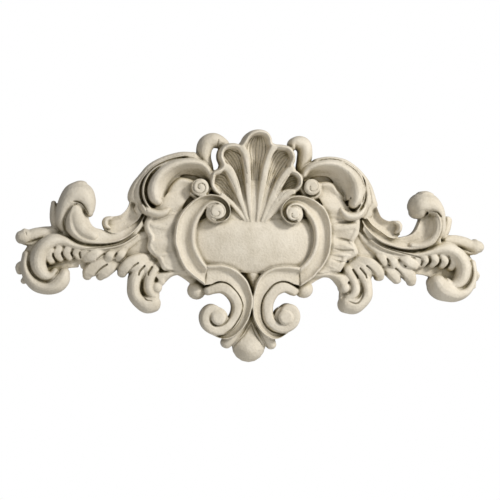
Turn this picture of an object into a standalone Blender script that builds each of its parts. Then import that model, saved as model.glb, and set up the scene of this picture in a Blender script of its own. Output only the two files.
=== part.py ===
"""Over-door plaque, one casting: a kidney-shaped panel in a moulded scroll frame, a five-lobed shell over
it, C-scrolls and ruffled sheets on each side, and acanthus wings that curl up and down. The carving is laid
out in millimetres of a plaque CARVING_WIDTH wide, x to the right and z up from the panel, and its depth from
the wall."""

import math

import bpy
import numpy as np

# Overall width in metres, and the layout's own width in its millimetres
PLAQUE_WIDTH = 0.933
CARVING_WIDTH = 933.0

# The casting's ground behind the wall plane, cut away at the end, and the flat back
GROUND_DEPTH = 9.0
CUTTER_REACH = 0.6

# Fineness of the surface: distance between sections, grid of the fused body, triangles left
SECTION_STEP = 5.0
FUSE_GRID = 2.6
TRIANGLES = 8300

# Casting material
STONE_COLOUR = (0.62, 0.58, 0.48, 1.0)
STONE_ROUGHNESS = 0.8
STONE_METALLIC = 0.0

# Sections across a stroke: position from one edge (-1) to the other (1), and height as a share of the ridge
QUARTER = math.pi / 2
SHOULDER = 0.5
ROLL = [
    (math.sin(turn * QUARTER), SHOULDER + (1 - SHOULDER) * math.cos(turn * QUARTER))
    for turn in (-1, -0.75, -0.5, -0.25, 0, 0.25, 0.5, 0.75, 1)
]
MOULDING = [
    (-1, 0.84), (-0.95, 0.95), (-0.86, 1.0), (-0.75, 0.98), (-0.68, 0.9), (-0.56, 0.84), (-0.3, 0.79),
    (0, 0.79), (0.22, 0.83), (0.36, 0.89), (0.5, 0.96), (0.66, 1.0), (0.82, 0.98), (0.94, 0.88), (1, 0.7),
]
COVE = [
    (-1, 0.84), (-0.94, 0.95), (-0.82, 1.0), (-0.68, 0.98), (-0.56, 0.89), (-0.4, 0.83), (0, 0.79),
    (0.5, 0.81), (1, 0.86),
]
TONGUE = [(-1, 0.6), (-0.85, 0.82), (-0.6, 0.96), (-0.2, 1.0), (0.2, 0.98), (0.6, 0.86), (0.85, 0.72),
          (1, 0.55)]
RIM_LEAF = [
    (-1, 0.55), (-0.85, 0.7), (-0.5, 0.8), (-0.2, 0.86), (0, 0.8), (0.2, 0.9), (0.5, 1.0), (0.8, 0.98),
    (1, 0.8),
]
TURNED_SHEET = [(-1, 0.86), (-0.88, 1.0), (-0.65, 0.98), (-0.25, 0.86), (0.3, 0.8), (1, 0.82)]
FLUTE = [(-1, 1.0), (-0.8, 0.84), (-0.5, 0.7), (0, 0.62), (0.5, 0.7), (0.8, 0.84), (1, 1.0)]
SCOOP = [(-1, 0.82), (-0.92, 0.96), (-0.78, 1.0), (-0.6, 0.9), (-0.35, 0.7), (0.1, 0.6), (0.6, 0.64),
         (1, 0.7)]
DOME = [(-1, 0.5), (-0.85, 0.72), (-0.6, 0.9), (-0.3, 0.98), (0, 1.0), (0.3, 0.98), (0.6, 0.9),
        (0.85, 0.72), (1, 0.5)]
LOBE = [(-1, 0.6), (-0.88, 0.84), (-0.66, 0.97), (-0.3, 1.0), (0.3, 1.0), (0.66, 0.97), (0.88, 0.84),
        (1, 0.6)]
SWELL = [(-1, 0.78), (-0.9, 0.86), (-0.7, 0.93), (-0.4, 0.98), (0, 1.0), (0.4, 0.98), (0.7, 0.93),
         (0.9, 0.86), (1, 0.78)]
FLAT_ROLL = [(-1, 0.8), (-0.85, 0.93), (-0.6, 0.99), (0, 1.0), (0.6, 0.99), (0.85, 0.93), (1, 0.8)]
HOLLOW = [(-1, 0.74), (-0.9, 0.93), (-0.74, 1.0), (-0.56, 0.9), (-0.3, 0.62), (0, 0.48), (0.5, 0.44),
          (1, 0.5)]
SLOPE = [(-1, 0.98), (-0.6, 0.8), (-0.1, 0.6), (0.4, 0.47), (1, 0.42)]
SHEET = [(-1, 0.94), (-0.5, 1.0), (0, 1.0), (0.5, 1.0), (1, 0.94)]

# Frame beside the panel: outer edge up to the volute, inner edge, and heights along it
FRAME = {
    "left": (
        [(-98, -81), (-111, -72), (-125, -62), (-139, -49), (-149, -31), (-155, -14), (-160, 1),
         (-160, 17), (-158, 35),
         (-153, 51), (-142, 68), (-121, 88), (-104, 96), (-86, 98), (-69, 93), (-57, 83), (-51, 69),
         (-53, 55),
         (-63, 46), (-77, 44), (-90, 50)],
        [(-94, -42), (-101, -34), (-109, -19), (-116, -3), (-118, 15), (-116, 33), (-110, 50), (-103, 61),
         (-97, 72), (-87, 79), (-76, 79), (-67, 73), (-64, 63), (-69, 55), (-78, 53), (-84, 57)],
        (52, 52, 53, 52, 54, 60, 62),
    ),
    "right": (
        [(91, -80), (103, -72), (116, -63), (124, -53), (134, -42), (142, -28), (148, -14), (150, 0),
         (151, 21), (150, 39),
         (146, 56), (139, 71), (129, 82), (110, 94), (89, 99), (70, 97), (57, 88), (49, 75), (49, 62),
         (58, 49),
         (72, 43), (84, 46)],
        [(87, -43), (99, -31), (108, -17), (114, 0), (116, 16), (114, 33), (107, 50), (99, 61), (92, 72),
         (82, 78), (72, 78), (63, 72), (62, 62), (67, 54), (76, 53), (81, 57)],
        (52, 52, 53, 52, 54, 60, 62),
    ),
}
FRAME_EYES = {"left": (-78, 63, 15, 61), "right": (73, 62, 14, 61)}
FRAME_EYE_FLOORS = {"left": (-78, 63, 21, 54), "right": (73, 62, 20, 54)}

# Scrolls under the panel: outer band edges, then the inner roll as (x, z, half width, height)
LOWER_BAND = {
    "left": (
        [(-94, -41), (-80, -40), (-68, -39), (-51, -43), (-36, -50), (-23, -61), (-14, -72), (-8, -86),
         (-4, -98), (-3, -110),
         (-5, -126), (-10, -145), (-20, -163), (-32, -176), (-45, -184), (-56, -186), (-68, -184),
         (-84, -177)],
        [(-98, -80), (-84, -78), (-72, -73), (-59, -74), (-49, -79), (-39, -88), (-31, -99), (-26, -110),
         (-25, -122), (-29, -138), (-37, -153), (-46, -165), (-56, -174), (-68, -176), (-82, -174)],
    ),
    "right": (
        [(88, -42), (77, -41), (63, -40), (49, -41), (35, -44), (21, -51), (11, -60), (4, -71), (0, -84),
         (-3, -98),
         (-4, -112), (-4, -126), (-2, -142), (6, -159), (17, -173), (32, -183), (43, -185), (54, -182),
         (69, -172)],
        [(91, -79), (75, -75), (64, -71), (51, -71), (38, -77), (27, -89), (20, -103), (17, -118), (17, -134),
         (20, -147), (27, -160), (38, -169), (51, -172), (66, -171)],
    ),
}
LOWER_HEIGHTS = (52, 52, 51, 50, 50, 48, 42)
LOWER_ROLL = {
    "left": [
        (-92, -92, 9, 44), (-77, -87, 10, 46), (-62, -85, 12, 47), (-48, -92, 12, 48), (-37, -104, 12, 48),
        (-32, -119, 11, 48), (-33, -135, 11, 48), (-40, -150, 11, 48), (-52, -162, 11, 49),
        (-66, -168, 11, 50),
        (-82, -167, 10, 51), (-93, -157, 10, 52), (-96, -142, 10, 53), (-90, -130, 9, 54), (-80, -126, 8, 54),
        (-69, -131, 6, 54),
    ],
    "right": [
        (81, -91, 9, 44), (67, -84, 10, 46), (55, -82, 12, 47), (42, -88, 12, 48), (33, -99, 12, 48),
        (27, -114, 12, 48), (27, -131, 11, 48), (31, -147, 11, 48), (42, -158, 11, 49), (55, -163, 11, 50),
        (69, -160, 10, 51), (79, -151, 10, 52), (82, -138, 10, 53), (77, -126, 9, 54), (66, -123, 8, 54),
        (56, -129, 6, 54),
    ],
}
LOWER_EYES = {"left": (-71, -143, 15, 57), "right": (62, -141, 15, 57)}
LOWER_EYE_FLOORS = {"left": (-73, -145, 22, 45), "right": (62, -142, 22, 45)}
LOWER_BALLS = {"left": (-112, -92, 18, 33), "right": (102, -86, 18, 33)}

# Panel between the scrolls, its top and bottom edges, and the plain ground behind frame, scrolls and shell
PANEL = (
    [(-124, 40), (-90, 54), (-54, 54), (0, 50), (50, 56), (90, 56), (120, 44)],
    [(-124, -30), (-90, -46), (-50, -52), (0, -56), (50, -52), (90, -46), (120, -26)],
)
PANEL_HEIGHTS = (34, 40, 44, 46, 47, 46, 44, 40, 34)
GROUND = [
    ([(-140, 60), (-60, 90), (0, 80), (60, 90), (140, 60)],
     [(-140, -30), (-60, -60), (0, -90), (60, -60), (140, -30)], 18),
    ([(-16, -50), (-14, -100), (-10, -150), (-22, -180)], [(12, -50), (8, -100), (4, -150), (20, -180)], 22),
    ([(-60, 150), (-30, 190), (0, 205), (34, 190), (60, 150)], [(-60, 80), (-30, 60), (0, 50), (30, 60),
                                                                (60, 80)], 24),
    ([(-66, 84), (-44, 68), (-16, 50)], [(-62, 50), (-40, 46), (-14, 42)], 37),
    ([(66, 90), (44, 70), (16, 50)], [(58, 50), (38, 46), (14, 42)], 37),
    ([(-128, 118), (-90, 118), (-60, 90)], [(-140, 80), (-100, 80), (-60, 70)], 24),
    ([(128, 118), (90, 118), (60, 90)], [(140, 80), (100, 80), (60, 70)], 24),
    ([(-120, -70), (-84, -72)], [(-108, -100), (-82, -98)], 20),
    ([(112, -66), (76, -70)], [(100, -94), (74, -96)], 20),
]

# Bud and fan below the panel
BUD = [(0, -46, 12, 32), (-1, -58, 15, 38), (-1, -70, 11, 36), (-1, -84, 6, 30), (-2, -96, 4, 26)]
FAN = [
    ([(-6, -132), (-20, -164), (-34, -184), (-39, -198), (-36, -208)],
     [(0, -132), (12, -164), (24, -184), (27, -198), (24, -208)], (22, 30, 35, 37, 36)),
]
FAN_TIP = (-6, -200, 33, 38)
FAN_LOBES = [
    [(-10, -146, 5, 32), (-26, -168, 10, 33), (-43, -185, 13, 33), (-52, -196, 11, 29)],
    [(4, -146, 5, 34), (18, -168, 9, 35), (32, -186, 12, 34), (39, -198, 10, 29)],
]

# Shell: each flute between two ribs from the base to the rim, the ribs, then the rim round all the lobes
RIBS = [
    [(-19, 46, 2.5, 41), (-27, 56, 4, 43), (-40, 72, 5, 47), (-53, 84, 6, 51), (-70, 97, 6, 55)],
    [(-15, 46, 3, 42), (-24, 70, 5, 45), (-34, 97, 7, 49), (-44, 124, 9, 53), (-55, 146, 9, 57),
     (-66, 153, 8, 58)],
    [(-9, 46, 3, 42), (-12, 70, 5, 45), (-15, 97, 6.5, 48), (-17, 125, 7, 51), (-20, 155, 7, 55),
     (-24, 178, 7, 58),
     (-32, 192, 8, 60)],
    [(3, 46, 3, 42), (6, 70, 5, 45), (9, 97, 7, 48), (13, 125, 7.5, 51), (18, 155, 7, 55), (25, 180, 6.5, 58),
     (33, 194, 8, 60)],
    [(12, 46, 3, 42), (22, 70, 6, 45), (34, 97, 9, 49), (47, 124, 9, 53), (61, 145, 8, 57), (71, 151, 8, 58)],
    [(18, 46, 2.5, 42), (28, 60, 7, 45), (42, 80, 12, 49), (55, 97, 12, 52), (66, 104, 8, 54),
     (74, 106, 6, 55)],
]
FLUTE_HEIGHTS = (38, 40, 42, 44, 46, 50)
FLUTE_BASES = (39, 42, 38, 26, 9, 9)
FLUTE_ARCHES = [
    ([(-80, 106), (-87, 116), (-88, 127)], [(-75, 143), (-84, 137), (-88, 128)]),
    ([(-68, 160), (-72, 172), (-67, 186)], [(-45, 194), (-58, 192), (-66, 187)]),
    ([(-26, 200), (-18, 212), (1, 221)], [(25, 200), (18, 214), (4, 221)]),
    ([(45, 193), (59, 190), (67, 184)], [(68, 161), (71, 172), (68, 183)]),
    ([(79, 142), (86, 134), (88, 127)], [(80, 111), (86, 119), (88, 126)]),
]
SHELL_RIM = [
    (-60, 84, 5, 44), (-70, 96, 6, 50), (-80, 105, 6, 55), (-87, 116, 6, 58), (-87, 128, 6, 60),
    (-84, 138, 6, 60),
    (-74, 143, 6, 60), (-64, 152, 6, 58), (-67, 161, 6, 60), (-71, 172, 6, 61), (-69, 184, 6, 62),
    (-60, 192, 6, 62),
    (-46, 194, 6, 62), (-33, 192, 6, 60), (-25, 200, 6, 60), (-19, 211, 6, 62), (-10, 219, 6, 63),
    (3, 222, 6, 63),
    (16, 219, 6, 63), (23, 210, 6, 62), (26, 199, 6, 60), (36, 194, 6, 60), (50, 193, 6, 62),
    (62, 190, 6, 62),
    (69, 181, 6, 61), (71, 170, 6, 60), (67, 159, 6, 58), (68, 147, 6, 58), (78, 142, 6, 60),
    (86, 133, 6, 60),
    (86, 120, 6, 58), (79, 111, 6, 55), (68, 102, 6, 50),
]

# Handles beside the shell
HANDLES = {
    "left": [
        (-90, 138, 9, 30), (-94, 154, 10, 36), (-101, 170, 13, 40), (-102, 186, 15, 43), (-97, 199, 16, 44),
        (-85, 205, 15, 44), (-73, 203, 13, 42), (-62, 198, 10, 38),
    ],
    "right": [
        (90, 140, 9, 30), (93, 156, 11, 36), (98, 172, 14, 40), (99, 187, 14, 43), (95, 200, 15, 44),
        (84, 204, 14, 44), (74, 202, 10, 42), (72, 193, 7, 40),
    ],
}

# Big C-scrolls: leaf round the outside, thin fillet, main roll, lower lip, disc on the near end
C_LEAF = {
    "left": (
        [(-104, 160), (-118, 179), (-130, 181), (-147, 181), (-162, 178), (-178, 173), (-192, 167),
         (-206, 159),
         (-217, 150), (-225, 140), (-233, 130), (-240, 121), (-247, 108), (-251, 94), (-249, 82),
         (-238, 76), (-240, 66),
         (-232, 53)],
        [(-100, 150), (-123, 167), (-142, 170), (-159, 166), (-178, 159), (-192, 153), (-203, 146),
         (-215, 134),
         (-222, 123), (-226, 112), (-227, 99), (-225, 86), (-220, 74), (-213, 62)],
    ),
    "right": (
        [(104, 158), (118, 172), (130, 176), (142, 178), (156, 178), (169, 176), (180, 173), (191, 167),
         (202, 159),
         (212, 150), (220, 141), (227, 132), (234, 120), (239, 107), (243, 94), (246, 82), (237, 73),
         (237, 64), (228, 53)],
        [(102, 152), (118, 167), (134, 171), (150, 172), (167, 169), (183, 163), (197, 153), (208, 140),
         (215, 127),
         (217, 112), (217, 96), (213, 84), (207, 72), (202, 62)],
    ),
}
C_LEAF_HEIGHTS = (40, 44, 45, 45, 45, 43, 40, 34)
C_FILLET = {
    "left": [(-178, 158, 2.5, 50), (-196, 149, 3.5, 52), (-208, 139, 3.5, 53), (-216, 127, 3.5, 53),
             (-221, 113, 3.5, 53),
             (-222, 99, 3.5, 52), (-219, 86, 3.5, 51), (-213, 74, 3.5, 49), (-205, 65, 3.5, 47)],
    "right": [(168, 168, 2.5, 50), (184, 161, 3.5, 52), (197, 151, 3.5, 53), (207, 138, 3.5, 53),
              (213, 124, 3.5, 53),
              (214, 109, 3.5, 52), (213, 94, 3.5, 51), (208, 81, 3.5, 49), (201, 70, 3.5, 47)],
}
C_ROLL = {
    "left": [
        (-90, 134, 8, 48), (-96, 146, 8, 52), (-108, 156, 8, 56), (-122, 160, 9, 59), (-140, 160, 9, 61),
        (-158, 156, 10, 62), (-175, 148, 11, 63), (-189, 136, 12, 64), (-198, 121, 14, 64),
        (-202, 105, 15, 64),
        (-200, 91, 14, 62), (-193, 81, 10, 56),
    ],
    "right": [
        (93, 138, 8, 48), (99, 149, 8, 52), (108, 156, 8, 56), (122, 161, 8, 59), (140, 163, 9, 61),
        (157, 161, 10, 62), (172, 154, 11, 63), (186, 143, 13, 64), (196, 128, 15, 64), (200, 111, 16, 64),
        (200, 96, 14, 62), (194, 83, 10, 58),
    ],
}
C_LIP = {
    "left": [(-224, 74, 5, 46), (-216, 65, 9, 50), (-203, 60, 10, 52), (-190, 58, 10, 52),
             (-178, 62, 9, 50), (-172, 67, 7, 46)],
    "right": [(217, 78, 5, 46), (208, 66, 9, 50), (196, 60, 10, 52), (184, 60, 10, 52), (175, 66, 9, 50),
              (170, 73, 7, 46)],
}
C_DISCS = {"left": (-111, 111, 17, 57), "right": (109, 116, 16, 56)}
C_DISC_BANDS = {
    "left": [(-94, 136, 6, 44), (-90, 124, 5, 46), (-92, 108, 5, 46), (-101, 94, 5, 46),
             (-116, 91, 5, 46), (-128, 99, 5, 46)],
    "right": [(92, 138, 6, 44), (88, 124, 5, 46), (91, 108, 5, 46), (101, 97, 5, 46), (116, 96, 6, 46),
              (126, 106, 6, 48),
              (124, 122, 5, 48)],
}

# Ruffled sheets outside the frame: inner edge under the frame, wavy outer edge, crest inside the C-scroll
RUFFLE = {
    "left": (
        [(-110, 118), (-140, 80), (-146, 60), (-150, 40), (-150, 20), (-150, 0), (-146, -18), (-140, -34),
         (-132, -48), (-128, -54)],
        [(-160, 116), (-186, 84), (-204, 62), (-214, 48), (-218, 34), (-211, 16), (-210, 4), (-212, -8),
         (-204, -21), (-192, -29),
         (-187, -40), (-178, -53), (-160, -53), (-146, -56)],
    ),
    "right": (
        [(110, 120), (134, 80), (140, 60), (142, 40), (142, 20), (142, 0), (138, -18), (132, -34),
         (126, -46), (122, -52)],
        [(160, 112), (180, 84), (198, 62), (208, 46), (206, 26), (198, 9), (204, -4), (206, -12),
         (197, -21), (186, -25),
         (180, -35), (171, -49), (158, -52), (140, -54)],
    ),
}
RUFFLE_HEIGHTS = (30, 33, 37, 39, 35, 39, 34, 39, 34, 38, 34, 34)
RUFFLE_FOLDS = {
    "left": [
        [(-150, 56, 9, 34), (-178, 60, 12, 39), (-200, 56, 10, 40)],
        [(-156, 32, 9, 35), (-184, 33, 13, 40), (-205, 36, 11, 41)],
        [(-158, 6, 8, 35), (-184, 2, 11, 39), (-202, -1, 10, 40)],
        [(-156, -18, 7, 34), (-178, -21, 9, 38), (-194, -22, 8, 39)],
        [(-146, -37, 7, 34), (-164, -43, 10, 37), (-176, -47, 8, 38)],
    ],
    "right": [
        [(144, 60, 9, 35), (172, 62, 12, 40), (194, 58, 10, 40)],
        [(148, 34, 9, 36), (176, 36, 13, 42), (197, 42, 11, 42)],
        [(150, 4, 6, 36), (175, 2, 9, 41), (195, -4, 9, 41)],
        [(148, -15, 6, 36), (170, -16, 7, 39), (189, -18, 7, 39)],
        [(140, -36, 6, 35), (156, -41, 8, 38), (167, -44, 7, 38)],
    ],
}
RUFFLE_EDGE = {
    "left": [(-203, 52, 9, 39), (-211, 38, 9, 40), (-210, 26, 8, 40), (-203, 14, 8, 38), (-203, 3, 8, 39),
             (-205, -7, 8, 40),
             (-197, -18, 8, 38), (-186, -27, 8, 38), (-181, -38, 8, 39), (-172, -48, 7, 38),
             (-156, -49, 6, 35)],
    "right": [(202, 52, 9, 39), (201, 37, 9, 41), (197, 23, 8, 40), (191, 10, 8, 38), (197, -3, 8, 40),
              (198, -11, 8, 40),
              (190, -18, 8, 38), (180, -23, 8, 38), (173, -34, 8, 39), (164, -45, 7, 38), (151, -47, 6, 35)],
}
C_COVE = {
    "left": (
        [(-92, 132), (-98, 142), (-110, 151), (-128, 154), (-146, 153), (-162, 147), (-176, 137),
         (-185, 122), (-189, 106),
         (-188, 90)],
        [(-98, 118), (-103, 126), (-114, 133), (-128, 136), (-142, 136), (-152, 130), (-160, 121),
         (-166, 110), (-171, 99),
         (-175, 86)],
    ),
    "right": (
        [(94, 134), (100, 145), (111, 154), (128, 157), (146, 157), (162, 152), (175, 142), (184, 128),
         (187, 112),
         (186, 94)],
        [(98, 120), (104, 130), (115, 137), (130, 139), (144, 138), (153, 131), (160, 121), (166, 110),
         (171, 99), (175, 86)],
    ),
}
C_COVE_HEIGHTS = (46, 50, 52, 52, 50)
TURNED_EDGE = {
    "left": (
        [(-176, 86), (-169, 104), (-162, 116), (-152, 127), (-140, 127), (-126, 124), (-108, 128)],
        [(-178, 66), (-162, 74), (-150, 82), (-140, 88), (-130, 92), (-118, 94), (-102, 98)],
    ),
    "right": (
        [(180, 88), (170, 102), (161, 112), (153, 123), (142, 126), (128, 125), (110, 130)],
        [(178, 66), (162, 74), (150, 82), (140, 88), (130, 92), (118, 94), (100, 98)],
    ),
}
TURNED_EDGE_HEIGHTS = (28, 32, 36, 38, 38, 36, 32)
CREST = {
    "left": [(-172, 92, 5, 28), (-168, 106, 5, 33), (-160, 117, 5, 36), (-150, 125, 5, 37),
             (-138, 125, 5, 36), (-126, 122, 5, 32)],
    "right": [(178, 94, 5, 28), (168, 103, 5, 33), (159, 111, 5, 36), (152, 121, 5, 37),
              (142, 124, 5, 36), (128, 123, 5, 32)],
}
C_FLOOR = {
    "left": (
        [(-92, 140), (-110, 160), (-150, 168), (-190, 150), (-222, 110), (-222, 60)],
        [(-92, 100), (-120, 98), (-140, 90), (-160, 78), (-180, 60), (-190, 46)],
    ),
    "right": (
        [(92, 140), (110, 160), (150, 168), (190, 152), (216, 112), (214, 60)],
        [(92, 100), (120, 98), (140, 92), (158, 78), (176, 60), (186, 46)],
    ),
}
C_FLOOR_HEIGHT = 16

# Upper stem that sweeps out and rolls over in a curl
STEM = {
    "left": (
        [(-217, 52), (-228, 33), (-241, 19), (-255, 8), (-271, 1), (-291, -3), (-308, -4), (-325, -4),
         (-340, -2),
         (-353, 4), (-364, 13), (-371, 25), (-373, 42), (-370, 56), (-362, 70)],
        [(-226, 60), (-233, 46), (-244, 34), (-256, 26), (-270, 19), (-285, 18), (-301, 25), (-313, 28),
         (-321, 34),
         (-326, 44), (-329, 53), (-334, 62), (-342, 72)],
    ),
    "right": (
        [(213, 52), (220, 38), (230, 26), (242, 16), (255, 8), (270, 3), (289, -2), (308, -4), (325, -3),
         (340, 0),
         (354, 6), (362, 15), (369, 29), (371, 45), (368, 59), (360, 71)],
        [(222, 62), (232, 46), (244, 36), (256, 28), (270, 22), (284, 20), (300, 22), (313, 26),
         (321, 33), (326, 42),
         (330, 52), (334, 62), (340, 72)],
    ),
}
STEM_HEIGHTS = (30, 38, 43, 46, 48, 50, 55, 60, 62, 60)
CURL = {
    "left": [(-376, 20, 8, 32), (-381, 38, 10, 44), (-378, 57, 13, 54), (-370, 75, 18, 60),
             (-356, 89, 25, 64),
             (-342, 90, 26, 65), (-332, 78, 20, 62), (-327, 65, 13, 57), (-326, 56, 8, 52)],
    "right": [(369, 20, 8, 32), (374, 38, 9, 44), (372, 57, 11, 52), (365, 74, 15, 60), (351, 86, 21, 64),
              (336, 86, 24, 65), (329, 79, 21, 63), (327, 71, 15, 58)],
}
STEM_ROLLS = {
    "left": [(-318, 12, 13, 52), (-336, 22, 18, 57), (-347, 36, 21, 60), (-352, 52, 20, 61),
             (-351, 66, 17, 58)],
    "right": [(312, 4, 7, 50), (332, 5, 8, 53), (348, 12, 9, 56), (359, 26, 9, 58), (363, 44, 8, 58),
              (361, 60, 8, 56)],
}
STEM_TIPS = {"left": TONGUE, "right": HOLLOW}
CURL_FINS = {
    "left": [[(-384, 20, 9, 20), (-392, 40, 10, 22), (-394, 60, 9, 22), (-396, 76, 5, 18)],
             [(-360, 111, 4, 44), (-347, 115, 5, 46), (-337, 113, 6, 46), (-333, 108, 4, 44)]],
    "right": [[(380, 22, 9, 20), (387, 40, 10, 22), (391, 57, 9, 22)],
              [(328, 100, 4, 44), (333, 106, 6, 46), (343, 109, 5, 46), (354, 106, 4, 44)]],
}

# Small leaf above the stem
LITTLE_LEAF = {
    "left": (
        [(-246, 84), (-250, 71), (-256, 62), (-266, 54), (-281, 51), (-294, 50), (-300, 42)],
        [(-222, 60), (-230, 46), (-244, 34), (-258, 24), (-272, 18), (-286, 20), (-298, 27)],
    ),
    "right": (
        [(244, 80), (249, 66), (255, 58), (265, 53), (277, 53), (288, 53), (295, 44)],
        [(222, 60), (232, 46), (244, 36), (256, 28), (268, 20), (280, 18), (291, 26)],
    ),
}
LITTLE_LEAF_HEIGHTS = (30, 32, 33, 33, 35, 36)
LITTLE_LEAF_TIPS = {
    "left": [(-284, 48, 4, 40), (-293, 44, 6, 42), (-294, 34, 6, 42), (-286, 28, 4, 36)],
    "right": [(280, 50, 4, 40), (288, 46, 6, 42), (289, 36, 6, 42), (282, 29, 4, 36)],
}

# Broad leaf that runs out under the stem and rolls down in the lower scroll
MAIN_LEAF = {
    "left": (
        [(-206, 26), (-226, 28), (-240, 14), (-256, 3), (-272, -4), (-292, -8), (-320, -8), (-344, -4),
         (-362, 6),
         (-380, 17), (-399, 19), (-411, 16), (-423, 9), (-435, 0), (-446, -11), (-453, -24), (-456, -38)],
        [(-206, 6), (-226, 1), (-243, -13), (-258, -23), (-280, -24), (-301, -24), (-325, -22),
         (-347, -21), (-368, -19),
         (-386, -25), (-400, -34), (-410, -42)],
    ),
    "right": (
        [(202, 36), (214, 34), (228, 22), (244, 10), (258, 2), (274, -4), (292, -8), (320, -9), (342, -5),
         (362, 6),
         (378, 14), (392, 13), (406, 8), (418, 2), (430, -8), (442, -22), (447, -38)],
        [(202, 26), (208, 17), (214, 7), (227, -5), (240, -16), (255, -26), (278, -24), (300, -23),
         (325, -24),
         (345, -22), (365, -22), (385, -24), (398, -34), (404, -44)],
    ),
}
MAIN_LEAF_HEIGHTS = (24, 27, 31, 34, 35, 36, 36, 34, 32, 30)
MAIN_ROLL = {
    "left": [
        (-232, 16, 4, 36), (-258, -1, 5, 39), (-290, -10, 6, 41), (-322, -12, 7, 43), (-350, -8, 9, 47),
        (-374, 1, 12, 51),
        (-392, 2, 14, 55), (-407, -5, 15, 57), (-418, -17, 16, 58), (-424, -31, 17, 58), (-424, -46, 17, 57),
        (-419, -59, 16, 56), (-408, -68, 14, 55), (-397, -67, 11, 53), (-390, -58, 8, 50),
    ],
    "right": [
        (232, 14, 4, 36), (258, -1, 5, 39), (290, -10, 6, 41), (322, -14, 7, 43), (348, -9, 9, 47),
        (370, -3, 12, 51),
        (388, -3, 14, 55), (403, -10, 15, 57), (413, -21, 16, 58), (419, -36, 16, 58), (419, -51, 16, 57),
        (414, -64, 15, 56), (404, -73, 13, 55), (394, -74, 11, 53), (387, -66, 8, 50),
    ],
}
LOWER_BULB = {
    "left": [(-446, -26, 9, 40), (-449, -48, 9, 46), (-442, -69, 11, 52), (-427, -85, 13, 57),
             (-406, -91, 13, 61),
             (-388, -85, 16, 63), (-377, -73, 16, 62), (-372, -61, 11, 58)],
    "right": [(439, -28, 8, 40), (441, -50, 8, 46), (436, -70, 9, 52), (423, -86, 11, 57), (404, -91, 16, 61),
              (385, -85, 21, 64), (373, -77, 21, 64), (367, -68, 17, 60)],
}

SCOOP_FLOOR = {
    "left": ([(-340, -20), (-370, -10), (-410, -10), (-440, -30), (-448, -56)],
             [(-345, -50), (-372, -54), (-388, -70), (-402, -90), (-430, -86)]),
    "right": ([(322, -20), (365, -12), (404, -14), (434, -34), (442, -60)],
              [(318, -52), (350, -56), (380, -72), (396, -94), (424, -88)]),
}
SCOOP_FLOOR_HEIGHT = 20
BACK_LOBES = {
    "left": [
        [(-424, 2, 12, 26), (-441, -1, 9, 28), (-456, 2, 6, 28)],
        [(-448, -44, 8, 22), (-460, -50, 8, 22), (-459, -60, 7, 18)], [(-444, -70, 8, 18),
                                                                       (-452, -79, 6, 16)],
    ],
    "right": [
        [(422, 0, 12, 26), (438, -4, 9, 28), (452, -1, 6, 28)],
        [(440, -46, 8, 22), (450, -52, 8, 22), (450, -60, 6, 18)],
        [(434, -66, 8, 18), (446, -73, 7, 16), (441, -78, 5, 16)],
    ],
}
FAR_FINGER = {
    "left": [(-392, 14, 16, 26), (-412, 13, 16, 30), (-430, 12, 14, 33), (-440, 10, 13, 34),
             (-449, 8, 17, 38), (-458, 7, 13, 38)],
    "right": [(390, 12, 14, 26), (408, 13, 14, 30), (426, 10, 13, 33), (437, 6, 12, 35), (446, 4, 16, 38),
              (454, 4, 12, 38)],
}

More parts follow.
